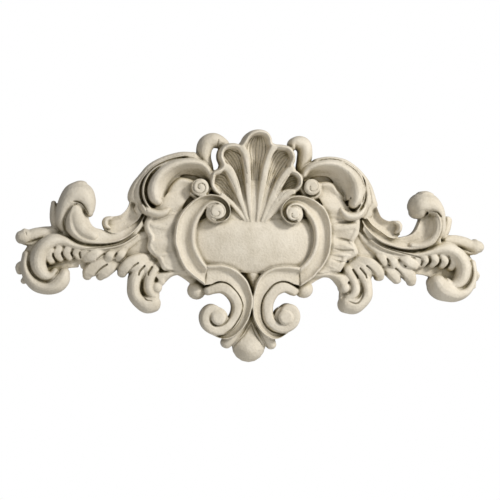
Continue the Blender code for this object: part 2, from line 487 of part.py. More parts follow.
# Leaf fingers: each as (x, z, half width, height)
FINGERS = {
    "left": [
        [(-332, -10, 10, 41), (-338, -22, 10, 37), (-340, -31, 7, 33)],
        [(-400, -14, 9, 46), (-404, -28, 10, 45), (-397, -40, 8, 38)],
        [(-383, -10, 9, 45), (-387, -24, 10, 44), (-380, -35, 7, 37)],
        [(-365, -10, 9, 44), (-369, -22, 10, 43), (-362, -32, 7, 36)],
        [(-347, -12, 9, 43), (-351, -22, 9, 41), (-344, -30, 7, 35)],
        [(-292, -14, 8, 31), (-308, -22, 13, 42), (-323, -28, 13, 41), (-332, -33, 9, 37)],
        [(-272, -14, 8, 30), (-284, -25, 12, 40), (-290, -34, 9, 36)],
        [(-254, -12, 7, 29), (-264, -24, 11, 38), (-268, -33, 8, 33)],
        [(-268, -30, 9, 22), (-292, -38, 15, 33), (-313, -48, 16, 33), (-325, -60, 13, 31),
         (-328, -67, 9, 27)],
        [(-258, -32, 8, 20), (-281, -46, 13, 31), (-296, -60, 12, 30), (-303, -68, 8, 25)],
        [(-208, -26, 8, 26), (-230, -33, 13, 39), (-247, -42, 14, 41), (-257, -53, 12, 38),
         (-260, -61, 9, 33)],
        [(-206, -32, 7, 25), (-223, -43, 11, 37), (-234, -54, 10, 36), (-238, -61, 7, 31)],
        [(-198, -36, 7, 24), (-211, -48, 11, 36), (-218, -58, 9, 33), (-218, -64, 6, 29)],
        [(-186, -36, 7, 22), (-195, -50, 10, 33), (-200, -61, 7, 30)],
    ],
    "right": [
        [(325, -12, 10, 41), (330, -24, 10, 37), (332, -34, 7, 33)],
        [(395, -12, 9, 46), (400, -27, 10, 45), (395, -39, 8, 38)],
        [(375, -12, 9, 45), (381, -25, 10, 44), (376, -36, 7, 37)],
        [(356, -12, 9, 44), (362, -24, 10, 43), (356, -34, 7, 36)],
        [(337, -14, 9, 43), (342, -25, 9, 41), (337, -33, 7, 35)],
        [(286, -16, 8, 31), (302, -24, 12, 42), (316, -31, 12, 41), (324, -36, 9, 37)],
        [(266, -16, 8, 30), (277, -27, 11, 40), (282, -37, 9, 36)],
        [(248, -14, 7, 29), (257, -25, 10, 38), (261, -34, 8, 33)],
        [(252, -31, 8, 20), (271, -43, 12, 31), (284, -57, 11, 30), (290, -66, 8, 25)],
        [(262, -28, 9, 22), (289, -37, 14, 33), (308, -49, 14, 33), (317, -62, 11, 31), (319, -70, 8, 27)],
        [(206, -22, 8, 26), (227, -32, 13, 39), (242, -42, 13, 41), (251, -53, 11, 38), (253, -60, 9, 33)],
        [(200, -28, 7, 25), (216, -40, 11, 37), (228, -52, 10, 36), (231, -59, 7, 31)],
        [(194, -34, 7, 24), (207, -46, 10, 36), (215, -58, 8, 33), (216, -63, 6, 29)],
        [(180, -34, 7, 22), (189, -48, 10, 33), (197, -61, 7, 30)],
    ],
}
WEBS = {
    "left": [([(-150, 110), (-185, 80), (-214, 60), (-236, 34)], [(-110, 90), (-150, 40), (-196, -12),
                                                                  (-230, -12)]),
             ([(-366, 84), (-376, 60), (-366, 30)], [(-336, 82), (-340, 60), (-330, 20)]),
             ([(-130, -46), (-170, -52), (-214, -44)], [(-100, -96), (-160, -60), (-206, -96)]),
             ([(-196, -10), (-226, 0), (-262, -16), (-300, -22), (-350, -18)], [(-190, -40), (-214, -42),
                                                                                (-250, -46), (-292, -50),
             (-340, -52)])],
    "right": [([(150, 110), (180, 84), (208, 64), (226, 34)], [(106, 90), (142, 40), (190, -14), (224, -12)]),
              ([(360, 84), (368, 60), (360, 30)], [(330, 82), (334, 60), (326, 20)]),
              ([(122, -46), (160, -52), (204, -44)], [(90, -92), (150, -60), (196, -92)]),
              ([(196, -10), (226, -2), (260, -16), (300, -22), (335, -20)], [(186, -40), (212, -44),
                                                                             (244, -42), (290, -48),
              (322, -52)])],
}
WEB_HEIGHT = 21
SEAMS = {
    "left": ([(-222, 44), (-241, 18), (-256, 8), (-292, -2), (-345, 2), (-374, 24)],
             [(-220, 34), (-241, 8), (-256, -8), (-292, -14), (-345, -10), (-378, 6)]),
    "right": ([(218, 44), (232, 26), (256, 8), (290, -2), (345, 2), (372, 24)],
              [(215, 34), (232, 12), (256, -8), (292, -14), (345, -10), (376, 4)]),
}
SEAM_HEIGHT = 32

# Drops under the ruffles: strap from the frame, outer crescent, bulb, and small balls
STRAPS = {
    "left": ([(-128, -40), (-139, -47), (-150, -49), (-173, -54), (-200, -56)], [(-122, -66), (-136, -64),
                                                                                 (-150, -62), (-164, -67),
    (-180, -84)]),
    "right": ([(122, -40), (133, -48), (150, -50), (171, -51), (196, -56)], [(116, -66), (130, -64),
                                                                             (143, -62), (158, -66),
    (176, -88)]),
}
STRAP_HEIGHTS = (30, 32, 34, 36, 36)
DROPS = {
    "left": [
        [(-216, -46, 14, 34), (-231, -64, 15, 40), (-236, -83, 13, 44), (-235, -100, 13, 46),
         (-226, -113, 14, 47),
         (-211, -120, 18, 48), (-198, -118, 18, 46)],
        [(-198, -52, 12, 36), (-206, -70, 13, 41), (-208, -87, 12, 44), (-203, -99, 11, 44),
         (-194, -105, 10, 41)],
    ],
    "right": [
        [(208, -46, 14, 34), (221, -64, 14, 40), (226, -82, 12, 44), (225, -97, 13, 46), (216, -109, 14, 47),
         (202, -116, 18, 48), (187, -115, 18, 46)],
        [(190, -52, 12, 36), (200, -70, 12, 41), (203, -85, 12, 44), (198, -97, 11, 44), (188, -102, 10, 41)],
    ],
}
DROP_FLOORS = {
    "left": ([(-226, -44), (-240, -70), (-240, -104), (-218, -128)], [(-186, -50), (-186, -80),
                                                                      (-186, -108), (-190, -126)]),
    "right": ([(216, -44), (230, -68), (230, -98), (210, -124)], [(178, -50), (176, -78), (174, -104),
                                                                  (178, -122)]),
}
DROP_FLOOR_HEIGHT = 27
DROP_BALLS = {
    "left": [(-192, -87, 11, 42), (-183, -75, 8, 38)],
    "right": [(182, -82, 11, 42), (176, -70, 8, 38)],
}

# Round heads: facets, and how far a button's face stands in from its edge
KNOB_SIDES = 16
KNOB_RINGS = 7
BUTTON_SIDES = 20
BUTTON_FACE = 0.72
BUTTON_DROP = 4.0

# Ends of strokes: how far the round end runs on, in half widths, and how low it falls
END_STEPS = (0.45, 0.75, 0.93, 1.0)
END_LENGTH = 0.85
END_LOW = 0.45
END_THIN = 0.12
SPLINE_STEPS = 12

points = []
faces = []


def spline(rows, count):
    """A smooth curve through hand-chosen rows, sampled evenly along its length."""
    rows = np.array(rows, float)
    rows = np.vstack([2 * rows[0] - rows[1], rows, 2 * rows[-1] - rows[-2]])
    step = np.linspace(0, 1, SPLINE_STEPS, endpoint=False)[:, None]
    fine = []
    for before, start, end, after in zip(rows, rows[1:], rows[2:], rows[3:]):
        bend = 2 * before - 5 * start + 4 * end - after
        twist = 3 * start - before - 3 * end + after
        fine.append((2 * start + (end - before) * step + bend * step**2 + twist * step**3) / 2)
    fine = np.vstack([*fine, rows[-2:-1]])
    length = np.concatenate([[0], np.cumsum(np.linalg.norm(np.diff(fine[:, :2], axis=0), axis=1))])
    at = np.linspace(0, length[-1], count)
    return np.column_stack([np.interp(at, length, column) for column in fine.T])


def run_of(rows):
    corners = np.array(rows, float)[:, :2]
    return float(np.linalg.norm(np.diff(corners, axis=0), axis=1).sum())


def along(heights, count):
    """Heights eased evenly from each to the next."""
    return spline([(step, 0, height) for step, height in enumerate(heights)], count)[:, 2]


def add_rings(rings):
    """Joins equal rings of points into one closed body."""
    first = len(points)
    size = len(rings[0])
    for ring in rings:
        points.extend(ring)
    for step in range(len(rings) - 1):
        for side in range(size):
            here = first + step * size + side
            after = first + step * size + (side + 1) % size
            faces.append((here, after, after + size, here + size))
    faces.append(tuple(range(first + size - 1, first - 1, -1)))
    last = first + (len(rings) - 1) * size
    faces.append(tuple(range(last, last + size)))


def section(middle, half, height, profile):
    """One cross-section: the carved top, then down behind the wall plane."""
    top = [(*(middle + half * across), -height * share) for across, share in profile]
    return [*top, (*(middle + half), GROUND_DEPTH), (*(middle - half), GROUND_DEPTH)]


def loft(left, right, heights, profile, rounded, last=None):
    """A stroke between two edges, its ends rounded over or not. Its section can change to a last one."""
    middles = (left + right) / 2
    halves = (right - left) / 2
    shapes = [profile] * len(heights)
    if last:
        across = np.array([place for place, _ in profile])
        shares = np.array([share for _, share in profile])
        others = np.interp(across, *zip(*last))
        turning = np.linspace(0, 1, len(heights))
        shapes = [list(zip(across, shares + (others - shares) * step)) for step in turning]
    rings = [section(*row) for row in zip(middles, halves, heights, shapes)]
    for at, inner in ((0, 1), (-1, -2)) if rounded else ():
        ahead = middles[at] - middles[inner]
        ahead = ahead / np.linalg.norm(ahead) * np.linalg.norm(halves[at]) * END_LENGTH
        extra = []
        for step in END_STEPS:
            thin = max(math.sqrt(1 - step**2), END_THIN)
            low = END_LOW + (1 - END_LOW) * thin
            extra.append(section(middles[at] + ahead * step, halves[at] * thin, heights[at] * low, profile))
        rings = extra[::-1] + rings if at == 0 else rings + extra
    add_rings(rings)


def band(edges, heights, profile, last=None):
    """A stroke given by its two edges."""
    count = max(4, int(max(run_of(edges[0]), run_of(edges[1])) / SECTION_STEP))
    left, right = (spline(edge, count) for edge in edges)
    loft(left, right, along(heights, count), profile, False, last)


def roll(rows, profile=ROLL):
    """A stroke given by its middle line, half widths and heights."""
    count = max(4, int(run_of(rows) / SECTION_STEP))
    line = spline(rows, count)
    ahead = np.gradient(line[:, :2], axis=0)
    ahead /= np.linalg.norm(ahead, axis=1)[:, None]
    side = np.column_stack([-ahead[:, 1], ahead[:, 0]]) * line[:, 2:3]
    loft(line[:, :2] - side, line[:, :2] + side, line[:, 3], profile, True)


def slab(edges, height):
    """Plain ground between two edges."""
    band(edges, (height, height), SHEET)


def circle(x, z, radius, depth, sides):
    turns = np.linspace(0, 2 * math.pi, sides, endpoint=False)
    return [(x + radius * math.cos(turn), z + radius * math.sin(turn), depth) for turn in turns]


def knob(x, z, radius, height):
    """A ball sitting in the carving, its front at the given height."""
    rings = [circle(x, z, radius, GROUND_DEPTH, KNOB_SIDES)]
    for turn in np.linspace(0, QUARTER, KNOB_RINGS, endpoint=False):
        depth = radius - height - radius * math.sin(turn)
        rings.append(circle(x, z, radius * math.cos(turn), depth, KNOB_SIDES))
    add_rings([ring[::-1] for ring in rings])


def button(x, z, radius, height):
    """A round head with a sloping edge and a flatter face."""
    rings = [
        circle(x, z, radius, GROUND_DEPTH, BUTTON_SIDES),
        circle(x, z, radius, BUTTON_DROP - height, BUTTON_SIDES),
        circle(x, z, radius * BUTTON_FACE, -height, BUTTON_SIDES),
    ]
    add_rings([ring[::-1] for ring in rings])


# The startup scene is cleared, and the parts and the cutters each get a collection
for obj in list(bpy.data.objects):
    bpy.data.objects.remove(obj, do_unlink=True)
parts = bpy.data.collections.new("parts")
cutters = bpy.data.collections.new("cutters")
for collection in (parts, cutters):
    bpy.context.scene.collection.children.link(collection)

band(PANEL, PANEL_HEIGHTS, SWELL)
for upper, lower, height in GROUND:
    slab((upper, lower), height)

# Shell
for before, after, (first_arch, second_arch) in zip(RIBS, RIBS[1:], FLUTE_ARCHES):
    first = [row[:2] for row in before] + first_arch
    second = [row[:2] for row in after] + second_arch
    band((first, second), FLUTE_HEIGHTS, FLUTE)
    band((first, second), FLUTE_BASES, SHEET)
for rib in RIBS:
    roll(rib, FLAT_ROLL)
roll(SHELL_RIM)

# Bud and fan under the panel
roll(BUD)
knob(*FAN_TIP)
for *edges, heights in FAN:
    band(edges, heights, DOME)
for lobe in FAN_LOBES:
    roll(lobe)

for side in ("left", "right"):
    outer, inner, heights = FRAME[side]
    band((outer, inner), heights, MOULDING)
    for eye in (FRAME_EYES, FRAME_EYE_FLOORS, LOWER_EYES, LOWER_EYE_FLOORS):
        button(*eye[side])
    band(LOWER_BAND[side], LOWER_HEIGHTS, COVE)
    roll(LOWER_ROLL[side], FLAT_ROLL)
    knob(*LOWER_BALLS[side])
    roll(HANDLES[side])
    slab(C_FLOOR[side], C_FLOOR_HEIGHT)
    band(C_LEAF[side], C_LEAF_HEIGHTS, RIM_LEAF)
    band(C_COVE[side], C_COVE_HEIGHTS, SLOPE)
    band(TURNED_EDGE[side], TURNED_EDGE_HEIGHTS, TURNED_SHEET)
    for stroke in (C_FILLET, C_ROLL, C_LIP, C_DISC_BANDS, RUFFLE_EDGE, CREST):
        roll(stroke[side])
    for stroke in (LITTLE_LEAF_TIPS, MAIN_ROLL, LOWER_BULB):
        roll(stroke[side])
    for stroke in (CURL, STEM_ROLLS, FAR_FINGER):
        roll(stroke[side], DOME)
    button(*C_DISCS[side])
    band(RUFFLE[side], RUFFLE_HEIGHTS, SHEET)
    band(STEM[side], STEM_HEIGHTS, SCOOP, last=STEM_TIPS[side])
    band(LITTLE_LEAF[side], LITTLE_LEAF_HEIGHTS, FLUTE)
    band(MAIN_LEAF[side], MAIN_LEAF_HEIGHTS, DOME)
    slab(SCOOP_FLOOR[side], SCOOP_FLOOR_HEIGHT)
    band(STRAPS[side], STRAP_HEIGHTS, DOME)
    slab(SEAMS[side], SEAM_HEIGHT)
    slab(DROP_FLOORS[side], DROP_FLOOR_HEIGHT)
    for group in (CURL_FINS, DROPS, RUFFLE_FOLDS):
        for lobe in group[side]:
            roll(lobe)
    for lobe in BACK_LOBES[side] + FINGERS[side]:
        roll(lobe, LOBE)
    for web in WEBS[side]:
        slab(web, WEB_HEIGHT)
    for ball in DROP_BALLS[side]:
        knob(*ball)

# All the strokes in one mesh, from (x, z, depth) in carving millimetres to metres with z up
unit = PLAQUE_WIDTH / CARVING_WIDTH
mesh = bpy.data.meshes.new("plaque")
mesh.from_pydata([(x * unit, depth * unit, z * unit) for x, z, depth in points], [], faces)
mesh.update()
plaque = bpy.data.objects.new("plaque", mesh)
parts.objects.link(plaque)

stone = bpy.data.materials.new("cast_stone")
stone.use_nodes = True
shader = stone.node_tree.nodes["Principled BSDF"]
shader.inputs["Base Color"].default_value = STONE_COLOUR
shader.inputs["Roughness"].default_value = STONE_ROUGHNESS
shader.inputs["Metallic"].default_value = STONE_METALLIC
mesh.materials.append(stone)

# Strokes fused into one skin, thinned, then cut flat where the plaque lies on the wall
fuse = plaque.modifiers.new("fuse", "REMESH")
fuse.mode = "VOXEL"
fuse.voxel_size = FUSE_GRID * unit
fused = plaque.evaluated_get(bpy.context.evaluated_depsgraph_get()).data
fused.calc_loop_triangles()
thin = plaque.modifiers.new("thin", "DECIMATE")
thin.ratio = TRIANGLES / len(fused.loop_triangles)

behind = bpy.data.meshes.new("wall_cutter")
reach = [CUTTER_REACH * corner for corner in (-1, 1)]
sides = list(zip(reach[:1] * 2 + reach[1:] * 2, reach + reach[::-1]))
corners = [(x, y, z) for y in (0, CUTTER_REACH) for x, z in sides]
behind.from_pydata(
    corners, [], [(0, 3, 2, 1), (4, 5, 6, 7), (0, 1, 5, 4), (1, 2, 6, 5), (2, 3, 7, 6), (3, 0, 4, 7)]
)
cutter = bpy.data.objects.new("wall_cutter", behind)
cutter.hide_render = True
cutter.display_type = "WIRE"
cutters.objects.link(cutter)
flat = plaque.modifiers.new("flat_back", "BOOLEAN")
flat.solver = "EXACT"
flat.operation = "DIFFERENCE"
flat.object = cutter
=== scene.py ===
import math

import bmesh
import bpy
import numpy as np
from mathutils import kdtree, Matrix, Vector, noise


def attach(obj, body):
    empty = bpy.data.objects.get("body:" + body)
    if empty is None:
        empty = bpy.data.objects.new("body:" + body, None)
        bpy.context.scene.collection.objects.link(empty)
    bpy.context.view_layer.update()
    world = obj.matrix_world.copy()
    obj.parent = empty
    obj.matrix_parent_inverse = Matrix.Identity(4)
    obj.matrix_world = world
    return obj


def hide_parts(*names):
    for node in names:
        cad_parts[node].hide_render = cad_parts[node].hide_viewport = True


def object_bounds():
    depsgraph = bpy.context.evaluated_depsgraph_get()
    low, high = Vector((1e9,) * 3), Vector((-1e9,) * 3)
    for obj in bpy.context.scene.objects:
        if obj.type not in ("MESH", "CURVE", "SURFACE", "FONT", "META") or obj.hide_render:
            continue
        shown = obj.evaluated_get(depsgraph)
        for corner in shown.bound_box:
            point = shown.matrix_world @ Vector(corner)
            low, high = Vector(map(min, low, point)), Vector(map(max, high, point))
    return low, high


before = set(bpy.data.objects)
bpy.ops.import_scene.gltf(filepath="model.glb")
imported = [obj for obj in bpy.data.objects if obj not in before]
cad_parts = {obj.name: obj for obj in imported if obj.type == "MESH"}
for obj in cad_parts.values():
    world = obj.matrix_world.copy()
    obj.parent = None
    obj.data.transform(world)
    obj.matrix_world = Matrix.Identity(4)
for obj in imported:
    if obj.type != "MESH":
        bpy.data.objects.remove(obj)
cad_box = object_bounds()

PLAQUE_WIDTH = 0.933
CARVING_WIDTH = 933.0
UNIT = PLAQUE_WIDTH / CARVING_WIDTH
SIDES = ("left", "right")
GROUND_DEPTH = 9.0
SECTION_STEP = 2.2
SPLINE_STEPS = 12
QUARTER = math.pi / 2
SHOULDER = 0.5
ROLL = [
    (math.sin(turn * QUARTER), SHOULDER + (1 - SHOULDER) * math.cos(turn * QUARTER))
    for turn in (-1, -0.75, -0.5, -0.25, 0, 0.25, 0.5, 0.75, 1)
]
MOULDING = [
    (-1, 0.84), (-0.95, 0.95), (-0.86, 1.0), (-0.75, 0.98), (-0.68, 0.9), (-0.56, 0.84), (-0.3, 0.79),
    (0, 0.79), (0.22, 0.83), (0.36, 0.89), (0.5, 0.96), (0.66, 1.0), (0.82, 0.98), (0.94, 0.88), (1, 0.7),
]
DOME = [
    (-1, 0.5), (-0.85, 0.72), (-0.6, 0.9), (-0.3, 0.98), (0, 1.0), (0.3, 0.98), (0.6, 0.9), (0.85, 0.72),
    (1, 0.5),
]
SHEET = [(-1, 0.94), (-0.5, 1.0), (0, 1.0), (0.5, 1.0), (1, 0.94)]

END_STEPS = (0.45, 0.75, 0.93, 1.0)
END_LENGTH = 0.85
END_LOW = 0.45
END_THIN = 0.12
FEWEST_SECTIONS = 4

points = []
faces = []


def spline(rows, count):
    """A smooth curve through given rows, sampled evenly along its length."""
    rows = np.array(rows, float)
    rows = np.vstack([2 * rows[0] - rows[1], rows, 2 * rows[-1] - rows[-2]])
    step = np.linspace(0, 1, SPLINE_STEPS, endpoint=False)[:, None]
    fine = []
    for before, start, end, after in zip(rows, rows[1:], rows[2:], rows[3:]):
        bend = 2 * before - 5 * start + 4 * end - after
        twist = 3 * start - before - 3 * end + after
        fine.append((2 * start + (end - before) * step + bend * step**2 + twist * step**3) / 2)
    fine = np.vstack([*fine, rows[-2:-1]])
    length = np.concatenate([[0], np.cumsum(np.linalg.norm(np.diff(fine[:, :2], axis=0), axis=1))])
    at = np.linspace(0, length[-1], count)
    return np.column_stack([np.interp(at, length, column) for column in fine.T])


def run_of(rows):
    """Length of the line through given rows."""
    corners = np.array(rows, float)[:, :2]
    return float(np.linalg.norm(np.diff(corners, axis=0), axis=1).sum())


def along(heights, count):
    """Heights eased evenly from each to the next."""
    return spline([(step, 0, height) for step, height in enumerate(heights)], count)[:, 2]


def add_rings(rings):
    """Joins equal rings of points into one closed body."""
    first = len(points)
    size = len(rings[0])
    for ring in rings:
        points.extend(ring)
    for step in range(len(rings) - 1):
        for side in range(size):
            here = first + step * size + side
            after = first + step * size + (side + 1) % size
            faces.append((here, after, after + size, here + size))
    faces.append(tuple(range(first + size - 1, first - 1, -1)))
    last = first + (len(rings) - 1) * size
    faces.append(tuple(range(last, last + size)))


def section(middle, half, height, profile):
    """One cross-section: the carved top, then down behind the wall plane."""
    top = [(*(middle + half * across), -height * share) for across, share in profile]
    return [*top, (*(middle + half), GROUND_DEPTH), (*(middle - half), GROUND_DEPTH)]


def loft(left, right, heights, profile, rounded, last=None):
    """A stroke between two edges, whose section can change to a last one. A rounded end runs on by a share
    of the half width and falls low and thin."""
    middles = (left + right) / 2
    halves = (right - left) / 2
    shapes = [profile] * len(heights)
    if last:
        across = np.array([place for place, _ in profile])
        shares = np.array([share for _, share in profile])
        others = np.interp(across, *zip(*last))
        turning = np.linspace(0, 1, len(heights))
        shapes = [list(zip(across, shares + (others - shares) * step)) for step in turning]
    rings = [section(*row) for row in zip(middles, halves, heights, shapes)]
    for at, inner in ((0, 1), (-1, -2)) if rounded else ():
        ahead = middles[at] - middles[inner]
        ahead = ahead / np.linalg.norm(ahead) * np.linalg.norm(halves[at]) * END_LENGTH
        extra = []
        for step in END_STEPS:
            thin = max(math.sqrt(1 - step**2), END_THIN)
            low = END_LOW + (1 - END_LOW) * thin
            extra.append(section(middles[at] + ahead * step, halves[at] * thin, heights[at] * low, profile))
        rings = extra[::-1] + rings if at == 0 else rings + extra
    add_rings(rings)


def band(edges, heights, profile, last=None):
    """A stroke given by its two edges."""
    count = max(FEWEST_SECTIONS, int(max(run_of(edges[0]), run_of(edges[1])) / SECTION_STEP))
    left, right = (spline(edge, count) for edge in edges)
    loft(left, right, along(heights, count), profile, False, last)


def roll(rows, profile=ROLL):
    """A stroke given by its middle line, half widths and heights."""
    count = max(FEWEST_SECTIONS, int(run_of(rows) / SECTION_STEP))
    line = spline(rows, count)
    ahead = np.gradient(line[:, :2], axis=0)
    ahead /= np.linalg.norm(ahead, axis=1)[:, None]
    side = np.column_stack([-ahead[:, 1], ahead[:, 0]]) * line[:, 2:3]
    loft(line[:, :2] - side, line[:, :2] + side, line[:, 3], profile, True)


def slab(edges, height):
    """Plain ground between two edges."""
    band(edges, (height, height), SHEET)


def circle(x, z, radius, depth, sides):
    """One ring of a turned form, at a depth from the wall."""
    turns = np.linspace(0, math.tau, sides, endpoint=False)
    return [(x + radius * math.cos(turn), z + radius * math.sin(turn), depth) for turn in turns]


SWELL = [
    (-1, 0.78), (-0.9, 0.86), (-0.7, 0.93), (-0.4, 0.98), (0, 1.0), (0.4, 0.98), (0.7, 0.93), (0.9, 0.86),
    (1, 0.78),
]
PANEL = (
    [(-124, 40), (-90, 54), (-54, 54), (0, 50), (50, 56), (90, 56), (120, 44)],
    [(-124, -30), (-90, -46), (-50, -52), (0, -56), (50, -52), (90, -46), (120, -26)],
)
PANEL_HEIGHTS = (34, 40, 44, 46, 47, 46, 44, 40, 34)
GROUND = [
    ([(-140, 60), (-60, 90), (0, 80), (60, 90), (140, 60)],
     [(-140, -30), (-60, -60), (0, -90), (60, -60), (140, -30)], 18),
    ([(-16, -50), (-14, -100), (-10, -150), (-22, -180)], [(12, -50), (8, -100), (4, -150), (20, -180)],
     22),
    ([(-60, 150), (-30, 190), (0, 205), (34, 190), (60, 150)],
     [(-60, 80), (-30, 60), (0, 50), (30, 60), (60, 80)], 24),
    ([(-66, 84), (-44, 68), (-16, 50)], [(-62, 50), (-40, 46), (-14, 42)], 37),
    ([(66, 90), (44, 70), (16, 50)], [(58, 50), (38, 46), (14, 42)], 37),
    ([(-128, 118), (-90, 118), (-60, 90)], [(-140, 80), (-100, 80), (-60, 70)], 24),
    ([(128, 118), (90, 118), (60, 90)], [(140, 80), (100, 80), (60, 70)], 24),
    ([(-120, -70), (-84, -72)], [(-108, -100), (-82, -98)], 20),
    ([(112, -66), (76, -70)], [(100, -94), (74, -96)], 20),
]
band(PANEL, PANEL_HEIGHTS, SWELL)
for upper, lower, height in GROUND:
    slab((upper, lower), height)

FRAME = {
    "left": (
        [(-98, -81), (-111, -72), (-125, -62), (-139, -49), (-149, -31), (-155, -14), (-160, 1), (-160, 17),
         (-158, 35), (-153, 51), (-142, 68), (-121, 88), (-104, 96), (-86, 98), (-69, 93), (-57, 83),
         (-51, 69), (-53, 55), (-63, 46), (-77, 44), (-90, 50)],
        [(-94, -42), (-101, -34), (-109, -19), (-116, -3), (-118, 15), (-116, 33), (-110, 50), (-103, 61),
         (-97, 72), (-87, 79), (-76, 79), (-67, 73), (-64, 63), (-69, 55), (-78, 53), (-84, 57)],
    ),
    "right": (
        [(91, -80), (103, -72), (116, -63), (124, -53), (134, -42), (142, -28), (148, -14), (150, 0),
         (151, 21), (150, 39), (146, 56), (139, 71), (129, 82), (110, 94), (89, 99), (70, 97), (57, 88),
         (49, 75), (49, 62), (58, 49), (72, 43), (84, 46)],
        [(87, -43), (99, -31), (108, -17), (114, 0), (116, 16), (114, 33), (107, 50), (99, 61), (92, 72),
         (82, 78), (72, 78), (63, 72), (62, 62), (67, 54), (76, 53), (81, 57)],
    ),
}
FRAME_HEIGHTS = (52, 52, 53, 52, 54, 60, 62)
FRAME_EYES = {"left": (-78, 63, 15, 61), "right": (73, 62, 14, 61)}
FRAME_EYE_FLOORS = {"left": (-78, 63, 21, 54), "right": (73, 62, 20, 54)}
BUTTON_SIDES = 20
BUTTON_FACE = 0.72
BUTTON_DROP = 4.0


def button(x, z, radius, height):
    """A round head with a sloping edge and a flatter face."""
    rings = [
        circle(x, z, radius, GROUND_DEPTH, BUTTON_SIDES),
        circle(x, z, radius, BUTTON_DROP - height, BUTTON_SIDES),
        circle(x, z, radius * BUTTON_FACE, -height, BUTTON_SIDES),
    ]
    add_rings([ring[::-1] for ring in rings])


for side in SIDES:
    band(FRAME[side], FRAME_HEIGHTS, MOULDING)
    button(*FRAME_EYES[side])
    button(*FRAME_EYE_FLOORS[side])

# The scrolls under the panel, cut in two steps that end in volutes, with a ball on each side where they
# meet the frame, and the bud and the fan between them.
COVE = [
    (-1, 0.84), (-0.94, 0.95), (-0.82, 1.0), (-0.68, 0.98), (-0.56, 0.89), (-0.4, 0.83), (0, 0.79),
    (0.5, 0.81), (1, 0.86),
]
LOWER_BAND = {
    "left": (
        [(-94, -41), (-80, -40), (-68, -39), (-51, -43), (-36, -50), (-23, -61), (-14, -72), (-8, -86),
         (-4, -98), (-3, -110), (-5, -126), (-10, -145), (-20, -163), (-32, -176), (-45, -184), (-56, -186),
         (-68, -184), (-84, -177)],
        [(-98, -80), (-84, -78), (-72, -73), (-59, -74), (-49, -79), (-39, -88), (-31, -99), (-26, -110),
         (-25, -122), (-29, -138), (-37, -153), (-46, -165), (-56, -174), (-68, -176), (-82, -174)],
    ),
    "right": (
        [(88, -42), (77, -41), (63, -40), (49, -41), (35, -44), (21, -51), (11, -60), (4, -71), (0, -84),
         (-3, -98), (-4, -112), (-4, -126), (-2, -142), (6, -159), (17, -173), (32, -183), (43, -185),
         (54, -182), (69, -172)],
        [(91, -79), (75, -75), (64, -71), (51, -71), (38, -77), (27, -89), (20, -103), (17, -118),
         (17, -134), (20, -147), (27, -160), (38, -169), (51, -172), (66, -171)],
    ),
}
LOWER_HEIGHTS = (52, 52, 51, 50, 50, 48, 42)
FLAT_ROLL = [(-1, 0.8), (-0.85, 0.93), (-0.6, 0.99), (0, 1.0), (0.6, 0.99), (0.85, 0.93), (1, 0.8)]
LOWER_ROLL = {
    "left": [
        (-92, -92, 9, 44), (-77, -87, 10, 46), (-62, -85, 12, 47), (-48, -92, 12, 48), (-37, -104, 12, 48),
        (-32, -119, 11, 48), (-33, -135, 11, 48), (-40, -150, 11, 48), (-52, -162, 11, 49),
        (-66, -168, 11, 50), (-82, -167, 10, 51), (-93, -157, 10, 52), (-96, -142, 10, 53),
        (-90, -130, 9, 54), (-80, -126, 8, 54), (-69, -131, 6, 54),
    ],
    "right": [
        (81, -91, 9, 44), (67, -84, 10, 46), (55, -82, 12, 47), (42, -88, 12, 48), (33, -99, 12, 48),
        (27, -114, 12, 48), (27, -131, 11, 48), (31, -147, 11, 48), (42, -158, 11, 49), (55, -163, 11, 50),
        (69, -160, 10, 51), (79, -151, 10, 52), (82, -138, 10, 53), (77, -126, 9, 54), (66, -123, 8, 54),
        (56, -129, 6, 54),
    ],
}
LOWER_EYES = {"left": (-71, -143, 15, 57), "right": (62, -141, 15, 57)}
LOWER_EYE_FLOORS = {"left": (-73, -145, 22, 45), "right": (62, -142, 22, 45)}
LOWER_BALLS = {"left": (-112, -92, 18, 33), "right": (102, -86, 18, 33)}
KNOB_SIDES = 16
KNOB_RINGS = 7
BUD = [(0, -46, 12, 32), (-1, -58, 15, 38), (-1, -70, 11, 36), (-1, -84, 6, 30), (-2, -96, 4, 26)]
FAN = [
    ([(-6, -132), (-20, -164), (-34, -184), (-39, -198), (-36, -208)],
     [(0, -132), (12, -164), (24, -184), (27, -198), (24, -208)], (22, 30, 35, 37, 36)),
]
FAN_TIP = (-6, -200, 33, 38)
FAN_LOBES = [
    [(-10, -146, 5, 32), (-26, -168, 10, 33), (-43, -185, 13, 33), (-52, -196, 11, 29)],
    [(4, -146, 5, 34), (18, -168, 9, 35), (32, -186, 12, 34), (39, -198, 10, 29)],
]


def knob(x, z, radius, height):
    """A ball sitting in the carving, its front at the given height."""
    rings = [circle(x, z, radius, GROUND_DEPTH, KNOB_SIDES)]
    for turn in np.linspace(0, QUARTER, KNOB_RINGS, endpoint=False):
        depth = radius - height - radius * math.sin(turn)
        rings.append(circle(x, z, radius * math.cos(turn), depth, KNOB_SIDES))
    add_rings([ring[::-1] for ring in rings])


for side in SIDES:
    band(LOWER_BAND[side], LOWER_HEIGHTS, COVE)
    roll(LOWER_ROLL[side], FLAT_ROLL)
    button(*LOWER_EYES[side])
    button(*LOWER_EYE_FLOORS[side])
    knob(*LOWER_BALLS[side])
roll(BUD)
knob(*FAN_TIP)
for *edges, heights in FAN:
    band(edges, heights, DOME)
for lobe in FAN_LOBES:
    roll(lobe)

